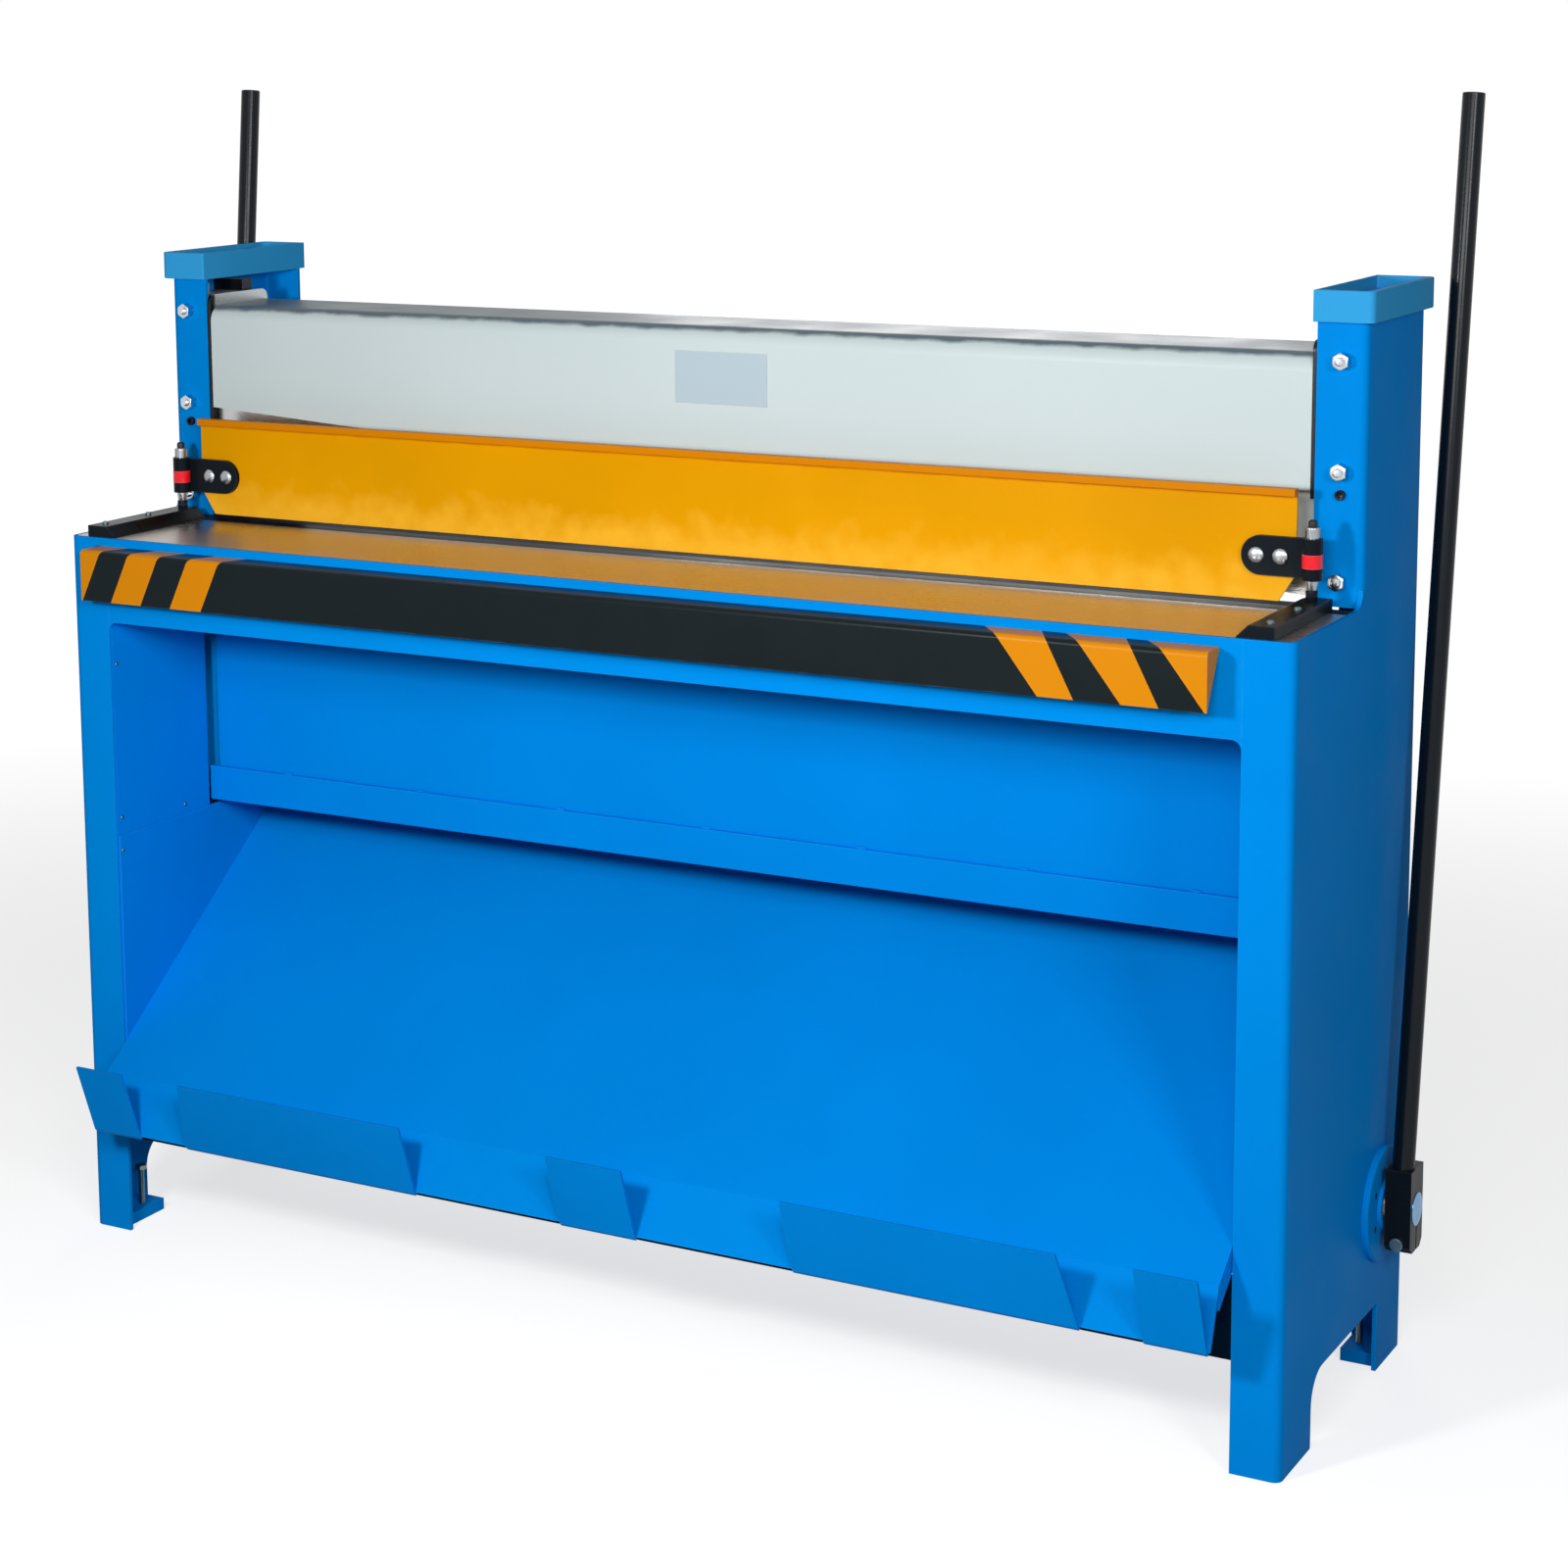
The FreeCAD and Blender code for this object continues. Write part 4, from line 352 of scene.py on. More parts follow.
dress(["foot_plates"], blue_coat, rounding=0.003)
zinc = plated("zinc_plating", shade(196, 201, 206), roughness=0.22)
dull_zinc = plated("dull_zinc_plating", shade(112, 134, 138), roughness=0.38)
black_nut = plated("blackened_steel", shade(34, 36, 40), roughness=0.4)
foot_pitch = 0.0015
crown_rim = 0.0008
crown_top = 0.0006
corner_turn = Matrix.Rotation(math.pi / 6, 4, "Z")
foot_bolts = []
for low, high in solids_of("levelling_bolts"):
    corner = (high.x - low.x) / 2
    flats = high.y - low.y
    shank = corner / 2
    bore = shank * 0.4
    length = high.z - low.z
    under_head = length - corner * 0.75
    spot = standing(low, high)
    rings = [(shank * 0.8, 0.0), (shank * 0.98, shank * 0.25)]
    rings += thread_rings(shank * 0.3, under_head, shank, foot_pitch)
    foot_bolts.append((turned(rings, sides=24), spot))
    head = turned(nut_rings(flats, under_head, length, bore), hollow=True)
    foot_bolts.append((head, spot @ corner_turn))
    crown = [(bore, under_head), (shank * 0.42, length - crown_rim), (shank * 0.3, length - crown_top)]
    foot_bolts.append((turned(crown, sides=24), spot))
make_piece("foot_bolts", joined(foot_bolts), dull_zinc, "frame", ["levelling_bolts"])


# Front beam: a folded steel channel between the front legs, close under the edge of the table.
# It is welded to the side frames and painted with them.
dress(["front_beam"], blue_coat, rounding=0.0012)


# Table: a ground steel plate screwed on the frame, polished by the sheets that slide over it.
# Its rear margin behind the guard panel is coloured dark and dull as painted shade, for the shadow in the
# gap under the panel.
def ground_steel(name, colour, roughness, streaks):
    """Ground steel with fine grinding lines one way and fainter handling marks."""
    spread = 0.08
    line_clouds = 60
    hand_clouds = 7
    line_strength = 0.25
    line_depth = 0.00003
    material, tree, shader, place = new_finish(name)
    dark, light = tones(colour, spread)
    lines = clouds(tree, place, line_clouds, 0, 1, detail=8, stretch=streaks)
    hands = clouds(tree, place, hand_clouds, 0, 1, detail=5)
    tone = calculate(tree, "ADD", calculate(tree, "MULTIPLY", lines, 0.5),
                     calculate(tree, "MULTIPLY", hands, 0.5))
    tree.links.new(mix_colours(tree, tone, dark, light), shader.inputs["Base Color"])
    gloss = rescaled(tree, tone, 0.0, 1.0, roughness * 0.7, roughness * 1.3)
    tree.links.new(gloss, shader.inputs["Roughness"])
    tree.links.new(relief(tree, lines, line_strength, line_depth), shader.inputs["Normal"])
    shader.inputs["Metallic"].default_value = 1.0
    return material


# Painted shade: the table's rear strip is made dark and not metallic, for the shadow under the guard
# panel.
painted_shade_black = (0.012, 0.011, 0.01, 1)
table_steel = ground_steel("table_steel", shade(176, 168, 156), 0.3, streaks=(1.0, 14.0, 14.0))
painted_shade_margin = tint_beyond(table_steel, "Y", start=-0.008, end=-0.006, colour=painted_shade_black)
outside_painted_shade = calculate(table_steel.node_tree, "SUBTRACT", 1.0, painted_shade_margin)
table_shader = shader_of(table_steel)
table_steel.node_tree.links.new(outside_painted_shade, table_shader.inputs["Metallic"])
table_shader.inputs["IOR"].default_value = 1.05
dress(["table_top"], table_steel, rounding=0.0006)


# Lower blade beam, ledge rail and lower blade: two steel layers carry the blade behind the table.
# The rail is tacked along the beam with short weld beads and painted with it.
# The blade is hardened steel, coloured black as painted shade for the dark gap under the guard panel.
dress(["lower_blade_beam"], blue_coat, rounding=0.001)
dress(["ledge_rail"], blue_coat, rounding=0.0012)
blade_steel = ground_steel("blade_steel", shade(186, 188, 190), 0.26, streaks=(1.0, 1.0, 30.0))
rubbed_black = (0.1, 0.1, 0.1, 1)
# Painted shade: the blade is near black and dull, so the gap under the guard panel stays dark.
blade_painted_shade = coat("blade_black_painted_shade", shade(20, 20, 22), rubbed_black, 0.55, shine=1.1, spread=0.2)
dress(["lower_blade"], blade_painted_shade, rounding=0.0003)
dress(["lower_blade_screws"], black_nut, rounding=0.0005)

bead_count = 7
bead_pitch = 0.206
bead_length = 0.014
bead_radius = 0.0022
bead_inset = 0.002
bead_steps = 24
bead_tip = 0.08
bead_roundness = 0.35
ripple_height = 0.09
ripple_pace = 40
rail_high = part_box("ledge_rail")[1]
along_rail = Matrix.Rotation(math.pi / 2, 4, "Y")
beads = []
for number in range(bead_count):
    across = (number - (bead_count - 1) / 2) * bead_pitch
    rings = []
    for step in range(bead_steps + 1):
        position = step / bead_steps
        swell = math.sin(math.pi * position) ** bead_roundness if 0 < position < 1 else bead_tip
        ripple = 1 + ripple_height * math.sin(position * ripple_pace + number)
        rings.append((bead_radius * swell * ripple, (position - 0.5) * bead_length))
    spot = Matrix.Translation((across, rail_high.y - bead_inset, rail_high.z))
    beads.append((turned(rings, sides=16), spot @ along_rail))
make_piece("weld_beads", joined(beads), blue_coat, "frame")


# Chute, its cheeks and the side linings: folded sheet that lets the cut strip slide out at the front.
# The front edge is bent to a lip of five tabs; cheeks and linings, held by small screws, close the sides.
dress(["chute", "left_chute_cheek", "right_chute_cheek"], blue_coat, rounding=0.0009)
dress(["left_side_lining", "right_side_lining"], blue_coat, rounding=0.0006)
lining_low, lining_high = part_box("right_side_lining")
cheek_low, cheek_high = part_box("right_chute_cheek")
screw_size = 0.0026
screw_head = [(screw_size, -0.0004), (screw_size, 0.0002), (screw_size * 0.8, 0.0008),
              (screw_size * 0.45, 0.001), (screw_size * 0.4, 0.0004), (0.0002, 0.0003)]
screw_spots = [(cheek_low.x, lining_low.y + 0.006, cheek_high.z - 0.019),
               (lining_low.x, lining_low.y + 0.008, lining_low.z + 0.023),
               (lining_low.x, lining_low.y + 0.008, lining_low.z + 0.22),
               (lining_low.x, lining_high.y - 0.051, lining_low.z + 0.012)]
lining_screws = []
for x, y, z in screw_spots:
    for side in (-1, 1):
        facing_in = Matrix.Translation((side * x, y, z)) @ Matrix.Rotation(-side * math.pi / 2, 4, "Y")
        lining_screws.append((turned(screw_head, sides=24), facing_in))
make_piece("lining_screws", joined(lining_screws), dull_zinc, "frame")


# Front stiffener: a strip of sheet folded back at its foot, welded between the front legs.
# It is coloured dark as painted shade for the shadow behind the apron; only its lower edge and its ends
# show past the chute.
strip_inset = 0.001
strip_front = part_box("left_side_frame")[0].y + strip_inset
strip_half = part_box("right_side_frame")[0].x
strip_foot = 0.126
strip_top = 0.22
strip_sheet = 0.003
strip_fold = 0.014
strip_outline = [(strip_front, strip_foot), (strip_front + strip_fold, strip_foot),
                 (strip_front + strip_fold, strip_foot + strip_sheet),
                 (strip_front + strip_sheet, strip_foot + strip_sheet),
                 (strip_front + strip_sheet, strip_top), (strip_front, strip_top)]
strip_points = [Vector((x, y, z)) for x in (-strip_half, strip_half) for y, z in strip_outline]
count = len(strip_outline)
strip_faces = [tuple(reversed(range(count))), tuple(range(count, 2 * count))]
for corner in range(count):
    beside = (corner + 1) % count
    strip_faces.append((corner, beside, count + beside, count + corner))
# Painted shade: the stiffener's dark navy stands for the shadow behind the apron.
rubbed_painted_shade = (0.01, 0.04, 0.08, 1)
painted_shade_coat = coat("painted_shade_spray", shade(3, 22, 40), rubbed_painted_shade, roughness=0.45, shine=1.05)
make_piece("front_stiffener", (strip_points, strip_faces), painted_shade_coat, "frame")


# Ties: a folded panel and, under it, a square tube hold the side frames together at the back.
# Both are welded in and painted with the frame.
dress(["rear_tie", "lower_tie"], blue_coat, rounding=0.0012)


# Caps: a bent steel collar round the top of each column, open above.
# It is welded on, and its paint is the frame's blue made paler, a painted highlight for the light that
# falls on the caps.
# Painted highlight: the caps get a paler copy of the frame blue, with paler edges as well.
lit_cap_blue = (0.035, 0.35, 0.72, 1)
rubbed_and_highlit_cap_blue = (0.08, 0.46, 0.8, 1)
lit_cap_coat = coat("cap_coat_painted_highlight", lit_cap_blue, rubbed_and_highlit_cap_blue, roughness=0.4, shine=1.04)
dress(["left_cap", "right_cap"], lit_cap_coat, rounding=0.0012, whole=False)


# Guides in the columns: strips and bars of cast iron that the beam slides between, oiled.
# The strips are set from the front by bolts with nuts and by a black set screw.
upright_streaks = (1.0, 1.0, 0.1)
iron = plated("oiled_iron", shade(112, 112, 110), 0.34, upright_streaks, spread=0.12, scale=30)
dark_iron = plated("dark_iron", shade(44, 46, 50), 0.4, upright_streaks, spread=0.15, scale=30)
dress(["gibs"], iron, rounding=0.0005)
dress(["rear_guides"], dark_iron, rounding=0.0005)


def facing_front(low, high):
    """Placing for a turned piece whose top looks to the front of the machine."""
    spot = Vector(((low.x + high.x) / 2, high.y, (low.z + high.z) / 2))
    return Matrix.Translation(spot) @ Matrix.Rotation(math.pi / 2, 4, "X")


column_sheet = 0.006
washer_sheet = 0.001
stud_pitch = 0.0012
stud_bevel = 0.0012
stud_rim = 0.0002
column_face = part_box("gibs")[0].y - column_sheet
gib_bolts = []
for low, high in solids_of("gib_bolts"):
    placing = facing_front(low, high)
    size = min(high.x - low.x, high.z - low.z)
    deep = high.y - column_face
    reach = high.y - low.y
    stud = size * 0.3
    nut_foot = deep + washer_sheet
    nut_top = deep + (reach - deep) * 0.7
    gib_bolts.append((turned(nut_rings(size, nut_foot, nut_top, stud), hollow=True), placing))
    washer = [(stud, deep), (size * 0.5, deep), (size * 0.5, nut_foot), (stud, nut_foot)]
    gib_bolts.append((turned(washer, hollow=True), placing))
    rings = [(stud, 0.0)]
    rings += thread_rings(deep, reach - stud_bevel, stud, stud_pitch)
    rings += [(stud * 0.7, reach - stud_rim), (stud * 0.3, reach)]
    gib_bolts.append((turned(rings, sides=24), placing))
make_piece("gib_bolts_and_nuts", joined(gib_bolts), zinc, "frame", ["gib_bolts"])


def socket_screw(radius, length, key, bevel=0.1):
    """A screw head with a six-sided socket, standing up from its seat."""
    flats = hexagon(key)
    edge = radius * bevel
    socket_floor = length * 0.5
    return turned([(radius, 0.0), (radius, length - edge), (radius - edge, length),
                   (key * 0.62, length), (flats, length - key * 0.06),
                   (flats, socket_floor), (key * 0.1, socket_floor - key * 0.1)])


set_screws = []
for low, high in solids_of("gib_set_screws"):
    radius = (high.x - low.x) / 2
    screw = socket_screw(radius, high.y - low.y, key=radius * 1.05)
    set_screws.append((screw, facing_front(low, high)))
make_piece("set_screws", joined(set_screws), black_nut, "frame", ["gib_set_screws"])


# Hazard guard: a folded strip in front of the table edge, painted black.
# Orange warning stripes are painted across both ends.
guard_low, guard_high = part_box("hazard_guard")


def hazard_coat(name, ground, stripe, spans, left_lean, right_lean, taper):
    """Black enamel with slanting stripes at both ends; the right ones narrow towards the foot."""
    colour_clouds = 6
    gloss_clouds = 14
    rubbed_width = 0.0015
    rubbed_spots = 45
    orange_peel = 300
    peel_strength = 0.3
    peel_depth = 0.0001
    bare_edge = (0.25, 0.26, 0.28, 1)
    material, tree, shader, place = new_finish(name)
    parts = add_node(tree, "SeparateXYZ", {"Vector": place}).outputs
    down = calculate(tree, "SUBTRACT", guard_high.z, parts["Z"])
    back = calculate(tree, "SUBTRACT", parts["Y"], guard_low.y)
    run = calculate(tree, "SUBTRACT", down, back)
    on_right = calculate(tree, "GREATER_THAN", parts["X"], 0.0)
    lean_change = calculate(tree, "MULTIPLY", on_right, right_lean - left_lean)
    lean = calculate(tree, "ADD", lean_change, left_lean)
    across = calculate(tree, "SUBTRACT", parts["X"], calculate(tree, "MULTIPLY", run, lean))
    narrowing = calculate(tree, "MULTIPLY", calculate(tree, "MULTIPLY", run, taper), on_right)
    past_left = calculate(tree, "SUBTRACT", across, narrowing)
    past_right = calculate(tree, "ADD", across, narrowing)
    painted = 0.0
    for start, end in spans:
        after = calculate(tree, "GREATER_THAN", past_left, start)
        before = calculate(tree, "LESS_THAN", past_right, end)
        painted = calculate(tree, "MAXIMUM", painted, calculate(tree, "MULTIPLY", after, before))
    cloud = clouds(tree, place, colour_clouds, 0.9, 1.1)
    black = mix_colours(tree, cloud, tones(ground, 0.2)[0], ground)
    orange = mix_colours(tree, cloud, tones(stripe, 0.08)[0], stripe)
    body = mix_colours(tree, painted, black, orange)
    spots = clouds(tree, place, rubbed_spots, 0.0, 0.4)
    rubbed = calculate(tree, "MULTIPLY", edge_strip(tree, rubbed_width), spots)
    tree.links.new(mix_colours(tree, rubbed, body, bare_edge), shader.inputs["Base Color"])
    tree.links.new(clouds(tree, place, gloss_clouds, 0.3, 0.42), shader.inputs["Roughness"])
    grain = clouds(tree, place, orange_peel, 0, 1, detail=2)
    tree.links.new(relief(tree, grain, peel_strength, peel_depth), shader.inputs["Normal"])
    shader.inputs["IOR"].default_value = 1.2
    return material


stripe_spans = [(-0.760, -0.719), (-0.675, -0.629), (-0.584, -0.537),
                (0.478, 0.535), (0.571, 0.629), (0.662, 0.800)]
hazard = hazard_coat("hazard_enamel", shade(11, 22, 25), shade(210, 131, 4), stripe_spans,
                     left_lean=-0.47, right_lean=0.64, taper=0.13)
dress(["hazard_guard"], hazard, rounding=0.0008)


# Side gauges: bevelled bars screwed to the table square to the blade, in black enamel.
# A scale with engraved marks lies on each bevel: the right one bright, the left one darkened as painted
# shade.
rubbed_enamel = (0.06, 0.07, 0.085, 1)
black_coat = coat("black_enamel", shade(16, 23, 29), rubbed_enamel, 0.3, shine=1.14, spread=0.12)
dress(["left_side_gauge", "right_side_gauge"], black_coat, rounding=0.0008)
scale_finish = plated("blade_painted_shade", shade(168, 170, 170), 0.35, streaks=(30.0, 1.0, 30.0))
# Painted shade: the left scale is tinted dark, as it is turned from the light.
tint_beyond(scale_finish, "X", start=0.1, end=-0.1, colour=shade(20, 24, 28))
dress(["gauge_scales"], scale_finish, rounding=0.0002)
mark_black = coat("mark_black", shade(20, 20, 22), (0.05, 0.05, 0.05, 1), 0.5)
mark_step = 0.001
marks_per_metre = 1000
mark_width = 0.0003
mark_proud = 0.00006
mark_margin = 0.0007
long_mark = 0.75
middle_mark = 0.5
short_mark = 0.3
marks = []
for low, high in solids_of("gauge_scales"):
    side = 1 if low.x > 0 else -1
    inner = min(abs(low.x), abs(high.x))
    slope = Vector((side, 0, 1)).normalized()
    normal = Vector((-side, 0, 1)).normalized()
    wide = (high.z - low.z) / slope.z
    foot = Vector((side * inner, 0, low.z + mark_margin))
    for number in range(1, int((high.y - low.y) * marks_per_metre)):
        share = long_mark if number % 10 == 0 else middle_mark if number % 5 == 0 else short_mark
        y = high.y - number * mark_step
        end = foot + slope * wide * share * 0.8
        corners = []
        for level in (-mark_proud, mark_proud):
            for base, shift in ((foot, -1), (foot, 1), (end, 1), (end, -1)):
                point = base + normal * level
                corners.append(Vector((point.x, y + shift * mark_width / 2, point.z)))
        faces = [(0, 3, 2, 1), (4, 5, 6, 7), (0, 1, 5, 4), (1, 2, 6, 5), (2, 3, 7, 6), (3, 0, 4, 7)]
        marks.append(((corners, faces), Matrix.Identity(4)))
make_piece("scale_marks", joined(marks), mark_black, "frame")
gauge_screws = []
for low, high in solids_of("gauge_screws"):
    radius = (high.x - low.x) / 2
    screw = socket_screw(radius, high.z - low.z, key=radius * 0.9, bevel=0.3)
    gauge_screws.append((screw, standing(low, high)))
make_piece("gauge_cap_screws", joined(gauge_screws), dull_zinc, "frame", ["gauge_screws"])


# Guide posts: bright turned posts on the gauges with a knurled sleeve and a black plastic knob.
# A black collar with a groove holds each post's foot.
def knurled(radius, teeth, depth, phase):
    """Radius of a knurled ring at an angle."""
    def reach(angle):
        return radius - depth * (0.5 + 0.5 * math.cos(angle * teeth + phase))
    return reach


knurl_teeth = 30
knurl_rows = 9
knurl_pitch = 0.0012
knurl_foot = 0.011
knob_steps = 6
posts = []
knobs = []
collars = []
for low, high in solids_of("guide_posts"):
    radius = (high.x - low.x) / 2
    top = high.z - low.z
    spot = standing(low, high)
    core = radius * 0.5
    waist = radius * 0.74
    wide = radius * 0.8
    collar = [(core, 0.0), (waist, 0.0), (wide, 0.0008), (wide, 0.0046), (waist, 0.0051),
              (waist, 0.0058), (wide, 0.0063), (wide, 0.0096), (waist, 0.0104), (core, 0.0104)]
    collars.append((turned(collar, hollow=True), spot))
    groove = radius * 0.9
    sleeve = radius * 0.94
    rings = [(core, 0.0005), (core, 0.0095), (radius * 0.66, 0.0105), (sleeve, 0.0225),
             (sleeve, top - 0.0125), (groove, top - 0.0122), (groove, top - 0.0112)]
    for step in range(knurl_rows):
        level = top - knurl_foot + knurl_pitch * step
        rings.append((knurled(radius, knurl_teeth, radius * 0.07, math.pi * (step % 2)), level))
    rings += [(sleeve, top - 0.0006), (radius * 0.86, top)]
    posts.append((turned(rings, sides=120), spot))
for low, high in solids_of("post_caps"):
    radius = (high.x - low.x) / 2
    top = high.z - low.z
    rings = [(radius * 0.8, 0.0), (radius, top * 0.12), (radius, top * 0.6)]
    for step in range(1, knob_steps + 1):
        swing = step / knob_steps * math.pi / 2
        rings.append((radius * (0.3 + 0.7 * math.cos(swing)), top * (0.6 + 0.4 * math.sin(swing))))
    knobs.append((turned(rings), standing(low, high)))
post_steel = plated("post_steel", shade(158, 163, 168), roughness=0.28)
make_piece("knurled_posts", joined(posts), post_steel, "frame", ["guide_posts"])
black_plastic = coat("black_plastic", shade(24, 27, 31), (0.08, 0.08, 0.09, 1), 0.34, shine=1.35)
make_piece("post_knobs", joined(knobs), black_plastic, "frame", ["post_caps"])
make_piece("post_collars", joined(collars), black_coat, "frame")


# Guard panel with its brackets: yellow folded sheet, carried at each end by a black arm.
# Two dome-headed bolts hold each arm, and its hub, ringed in red, slides on the post.
rubbed_yellow = (0.8, 0.38, 0.02, 1)
yellow_coat = coat("yellow_enamel", shade(219, 151, 0), rubbed_yellow, 0.34, shine=1.12, spread=0.09)
panel_low, panel_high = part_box("guard_panel")
shaded_lip_start = panel_high.z - 0.012
shaded_lip_end = panel_high.z - 0.009
painted_bounce_start = panel_low.z + 0.05
# Painted shade: the panel's top fold is tinted darker orange.
tint_beyond(yellow_coat, "Z", shaded_lip_start, shaded_lip_end, colour=shade(208, 126, 4))
# Painted light: the panel's lower part is tinted paler, for light thrown up from the polished table.
tint_beyond(yellow_coat, "Z", painted_bounce_start, panel_low.z, colour=shade(232, 170, 40))
dress(["guard_panel"], yellow_coat, rounding=0.0008)
dress(["left_bracket", "right_bracket"], black_coat, rounding=0.0008)
red_plastic = coat("red_plastic", shade(236, 20, 40), (0.95, 0.2, 0.2, 1), 0.2, shine=1.4)
dress(["red_bands"], red_plastic, rounding=0.0003)
dress(["hold_down_bar"], blade_steel, rounding=0.001)

arm_sheet = 0.004
nut_gap = 0.0005
dome_rim = 0.0006
dome_steps = 9
bracket_bolts = []
for low, high in solids_of("bracket_bolts"):
    placing = facing_front(low, high)
    radius = (high.z - low.z) / 2
    reach = high.y - low.y
    nut = high.y - panel_high.y
    seat = high.y - (low.y + arm_sheet)
    flats = 2 * radius * math.cos(math.pi / 6)
    rings = nut_rings(flats, nut_gap, nut, radius * 0.45)
    bracket_bolts.append((turned(rings, hollow=True), placing))
    bracket_bolts.append((turned([(radius * 0.5, 0.0), (radius * 0.5, seat)], sides=24), placing))
    rim = seat + dome_rim
    rings = [(radius, seat), (radius, rim)]
    for step in range(1, dome_steps):
        swing = step / dome_steps * math.pi / 2
        rings.append((radius * math.cos(swing), rim + (reach - seat - dome_rim) * math.sin(swing)))
    bracket_bolts.append((turned(rings), placing))
make_piece("dome_bolts", joined(bracket_bolts), post_steel, "hold_down", ["bracket_bolts"])


# Blade beam: a folded steel box in light grey enamel, with ribs and the blade's carrier inside.
# Its top fold is tinted dark grey-blue as painted shade on the upward faces. Plates close its ends, and
# shoes on them slide in the columns.
pale_grey = (0.8, 0.82, 0.82, 1)
grey_coat = coat("grey_enamel", shade(214, 223, 225), pale_grey, 0.36, spread=0.02)
rubbed_grey = (0.72, 0.74, 0.74, 1)
beam_coat = coat("beam_enamel", shade(200, 213, 215), rubbed_grey, 0.36, spread=0.02)
beam_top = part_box("blade_beam")[1].z
shaded_top_start = beam_top - 0.007
shaded_top_end = beam_top - 0.003
# Painted shade: the top fold of the beam is tinted dark grey-blue.
tint_beyond(beam_coat, "Z", shaded_top_start, shaded_top_end, colour=shade(98, 116, 126))
dress(["blade_beam"], beam_coat, rounding=0.001)
dress(["blade_carrier", "beam_ribs"], grey_coat, rounding=0.0008)
slide_steel = ground_steel("slide_plate_steel", shade(176, 180, 182), 0.3, streaks=(1.0, 1.0, 10.0))
plate_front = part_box("slide_plates")[0].y
shaded_edge_start = plate_front + 0.012
shaded_edge_end = plate_front + 0.008
# Painted shade: the front edge of each slide plate is tinted dark, for the shaded gap beside the column.
tint_beyond(slide_steel, "Y", shaded_edge_start, shaded_edge_end, colour=shade(40, 42, 44))
dress(["slide_plates"], slide_steel, rounding=0.0006)
dress(["guide_shoes"], iron, rounding=0.0008)
pale_lacquer = (0.6, 0.66, 0.7, 1)
plate_coat = coat("plate_lacquer", shade(178, 196, 206), pale_lacquer, 0.4, spread=0.02)
dress(["blank_plate"], plate_coat, rounding=0.0004)
dress(["upper_blade"], blade_steel, rounding=0.0003)
dress(["upper_blade_screws"], black_nut, rounding=0.0005)


# Bearings: round flanged housings screwed on the side plates and painted with them.
# Each holds a bronze bushing that the shaft turns in.
dress(["bearings"], blue_coat, rounding=0.001)
bronze = plated("bronze", shade(190, 142, 78), roughness=0.3)
dress(["bushings"], bronze, rounding=0.0005)
dress(["bearing_screws"], black_nut, rounding=0.0006)


# Lever shaft, clamp blocks and levers: a bright steel shaft across the machine.
# A split black block clamps a long black handle to each of its ends.
shaft_steel = plated("shaft_steel", shade(176, 182, 188), roughness=0.26)
shaft_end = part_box("lever_shaft")[1].x
painted_reflection_start = shaft_end - 0.004
painted_reflection_end = shaft_end - 0.002
# Painted reflection: the shaft's right end is tinted blue, for the blue paint mirrored in it.
tint_beyond(shaft_steel, "X", painted_reflection_start, painted_reflection_end, colour=shade(84, 140, 182))
dress(["lever_shaft"], shaft_steel, rounding=0.0008)
dress(["left_clamp_block", "right_clamp_block"], black_coat, rounding=0.0012)
dress(["clamp_bolts"], dull_zinc, rounding=0.0006)
rubbed_lever = (0.03, 0.05, 0.07, 1)
lever_coat = coat("lever_enamel", shade(12, 20, 27), rubbed_lever, 0.22, shine=1.26, depth=0.00004)
dress(["left_lever", "right_lever"], lever_coat, rounding=0.0012)


# Cranks, pull rods and gas struts: inside the columns, they draw the beam down and lift it again.
# Cranks and rods are flat steel in black enamel, the pins zinc plated, the strut rods chromed.
dress(["left_crank", "right_crank", "left_pull_rod", "right_pull_rod"], black_coat, rounding=0.001)
dress(["crank_pins"], zinc, rounding=0.0006)
dress(["strut_cylinders"], lever_coat, rounding=0.0008)
chrome = plated("chrome_rod", shade(222, 224, 228), roughness=0.1)
dress(["strut_rods"], chrome, rounding=0.0004)


# Studio: a plain pale floor, four lamps at the front from left to right and a weak one behind.
# Floor and world look white to the camera and in reflections, and light the machine only a little.
def seen_directly(tree):
    """One for what the camera, gloss or glass shows, nought for the light that falls on things."""
    path = add_node(tree, "LightPath").outputs
    return calculate(tree, "MAXIMUM", path["Is Camera Ray"],
                     calculate(tree, "MAXIMUM", path["Is Glossy Ray"], path["Is Transmission Ray"]))


white = (1, 1, 1, 1)
floor_half = 30.0
glow_near = 1.6
glow_far = 4.5
floor_mesh = bpy.data.meshes.new("floor")
floor_mesh.from_pydata([(-floor_half, -floor_half, 0), (floor_half, -floor_half, 0),
                        (floor_half, floor_half, 0), (-floor_half, floor_half, 0)], [], [(0, 1, 2, 3)])
floor = bpy.data.objects.new("floor", floor_mesh)
bpy.context.scene.collection.objects.link(floor)
floor_finish, tree, shader, place = new_finish("pale_floor")
floor_mesh.materials.append(floor_finish)
shader.inputs["Base Color"].default_value = (0.5, 0.5, 0.5, 1)
shader.inputs["Roughness"].default_value = 0.9
shader.inputs["Specular IOR Level"].default_value = 0.0
distance = add_node(tree, "VectorMath", {0: place}, operation="LENGTH").outputs["Value"]
glow = rescaled(tree, distance, glow_near, glow_far, 0.7, 1.0, interpolation_type="SMOOTHSTEP")
shader.inputs["Emission Color"].default_value = white
strength = calculate(tree, "MULTIPLY", seen_directly(tree), glow)
tree.links.new(strength, shader.inputs["Emission Strength"])

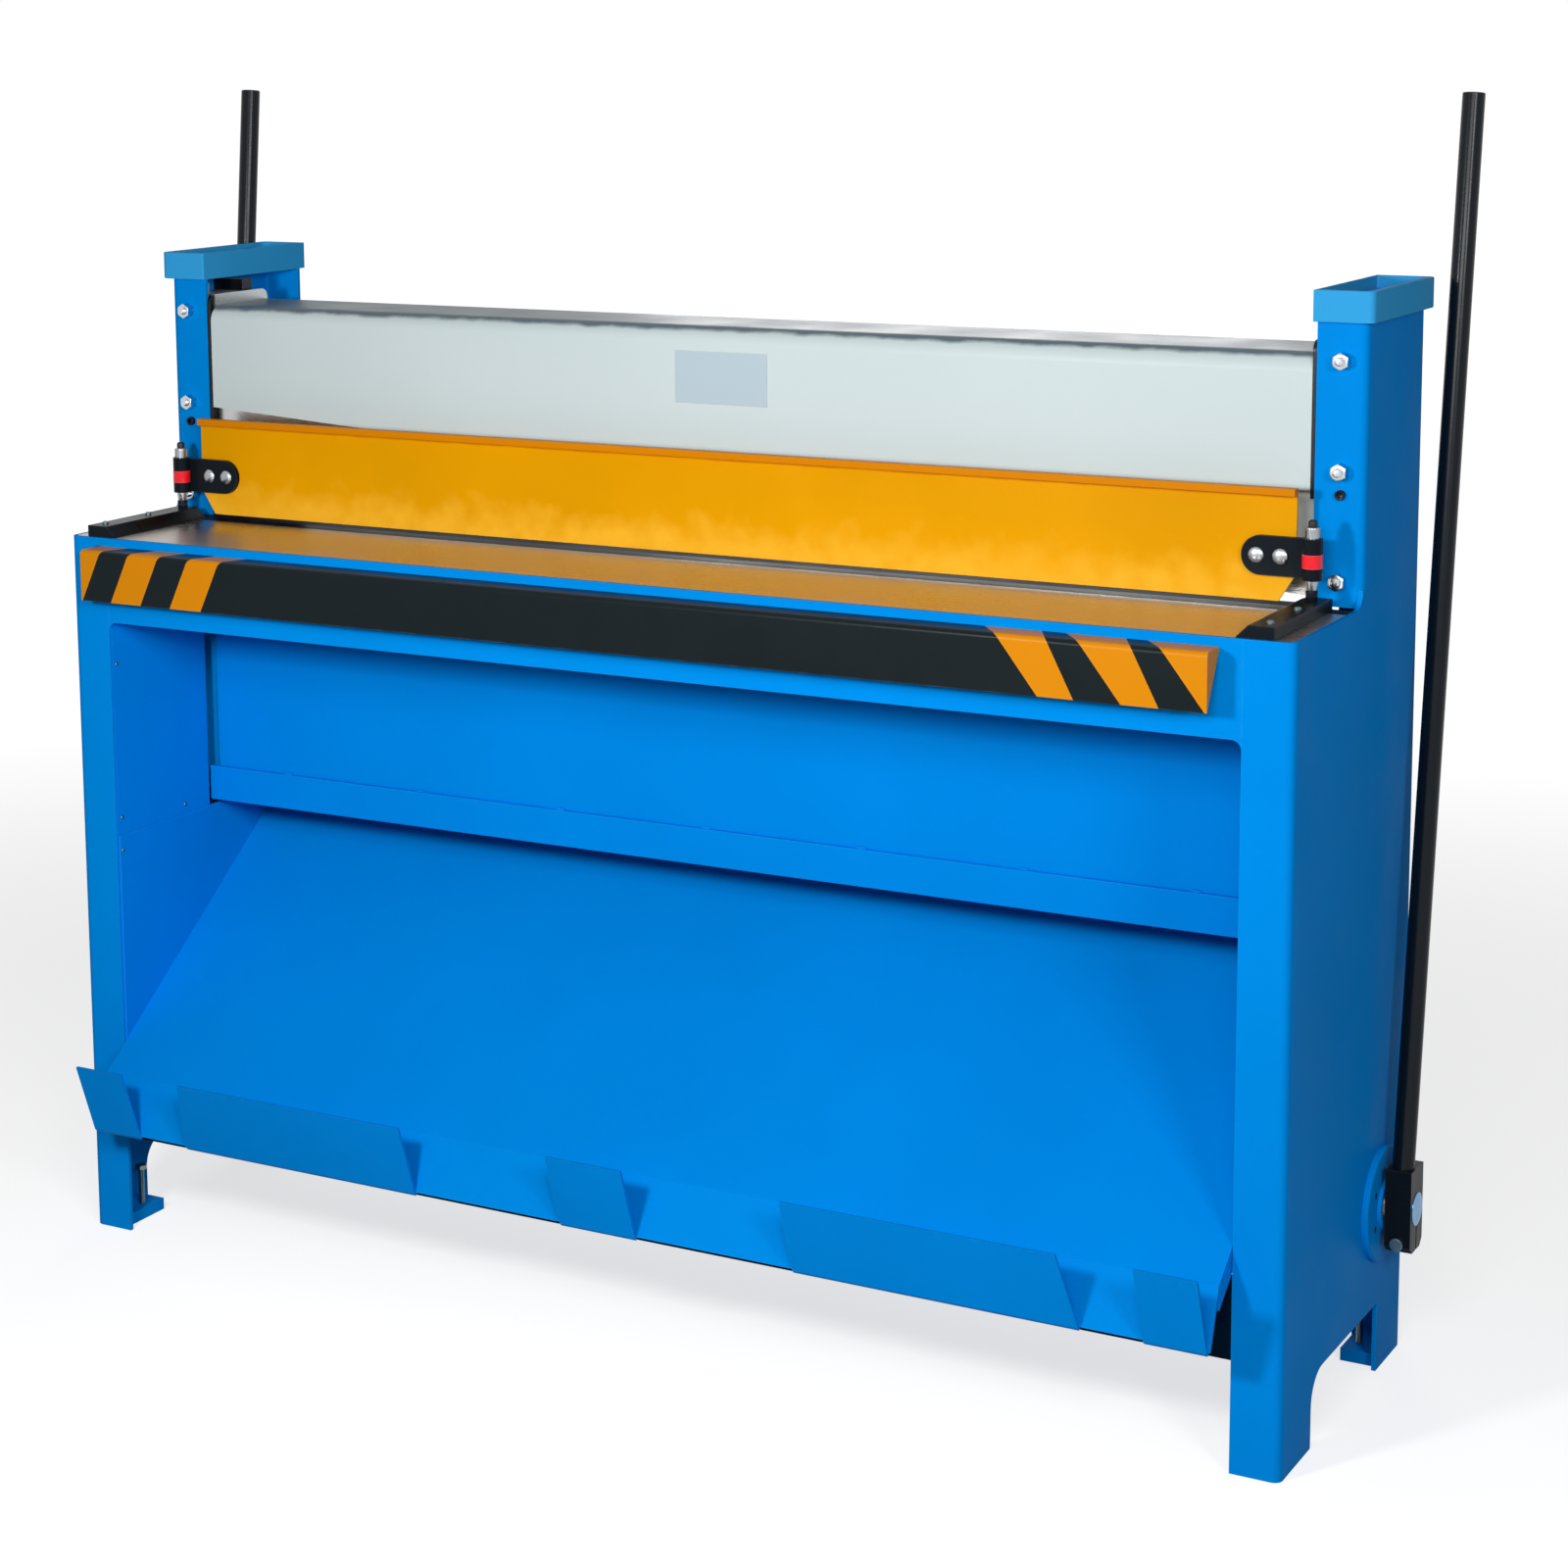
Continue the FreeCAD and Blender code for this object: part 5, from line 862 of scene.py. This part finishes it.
world = bpy.data.worlds.new("studio")
bpy.context.scene.world = world
world.use_nodes = True
tree = world.node_tree
background = next(node for node in tree.nodes if node.type == "BACKGROUND")
level = rescaled(tree, seen_directly(tree), 0.0, 1.0, low=0.1, high=1.0)
tree.links.new(level, background.inputs["Strength"])
background.inputs["Color"].default_value = white


def lamp(name, place, aim, size, power):
    """A square lamp at a place, looking at another."""
    light = bpy.data.lights.new(name, "AREA")
    light.size = size
    light.energy = power
    holder = bpy.data.objects.new(name, light)
    bpy.context.scene.collection.objects.link(holder)
    holder.location = place
    holder.rotation_euler = (Vector(aim) - Vector(place)).to_track_quat("-Z", "Y").to_euler()
    holder.visible_camera = False


middle = (0.0, 0.0, 0.6)
right_of_middle = (0.7, 0.0, 0.6)
lamp("left_lamp", (-0.15, -1.85, 1.34), middle, size=0.25, power=21)
lamp("right_lamp", (2.96, -2.36, 1.93), middle, size=0.7, power=33)
lamp("middle_lamp", (1.68, -2.6, 1.8), middle, size=0.5, power=10)
lamp("near_lamp", (1.0, -1.75, 1.5), right_of_middle, size=0.5, power=10)
lamp("rear_lamp", (-1.2, 3.4, 2.1), middle, size=1.5, power=18)


# Camera: in front of the machine to the right, a little above the column caps.
# Its lens is shifted, so that the machine sits in the picture as it does in the photograph.
camera_place = (1.831, -3.2854, 1.5275)
camera_turn = math.radians(29.805)
camera_pitch = math.radians(8.713)
camera_roll = math.radians(-0.598)
camera_data = bpy.data.cameras.new("camera")
camera_data.sensor_width = 36.0
camera_data.lens = 74.277
camera_data.shift_x = 0.08
camera_data.shift_y = -0.17
camera_data.clip_start = 0.05
camera_data.clip_end = 200.0
camera = bpy.data.objects.new("camera", camera_data)
bpy.context.scene.collection.objects.link(camera)
camera.rotation_mode = "QUATERNION"
aim = Matrix.Rotation(camera_turn, 4, "Z") @ Matrix.Rotation(math.pi / 2, 4, "X")
aim = aim @ Matrix.Rotation(-camera_pitch, 4, "X") @ Matrix.Rotation(camera_roll, 4, "Z")
camera.matrix_world = Matrix.Translation(camera_place) @ aim
bpy.context.scene.camera = camera
bpy.context.scene.view_settings.view_transform = "Standard"
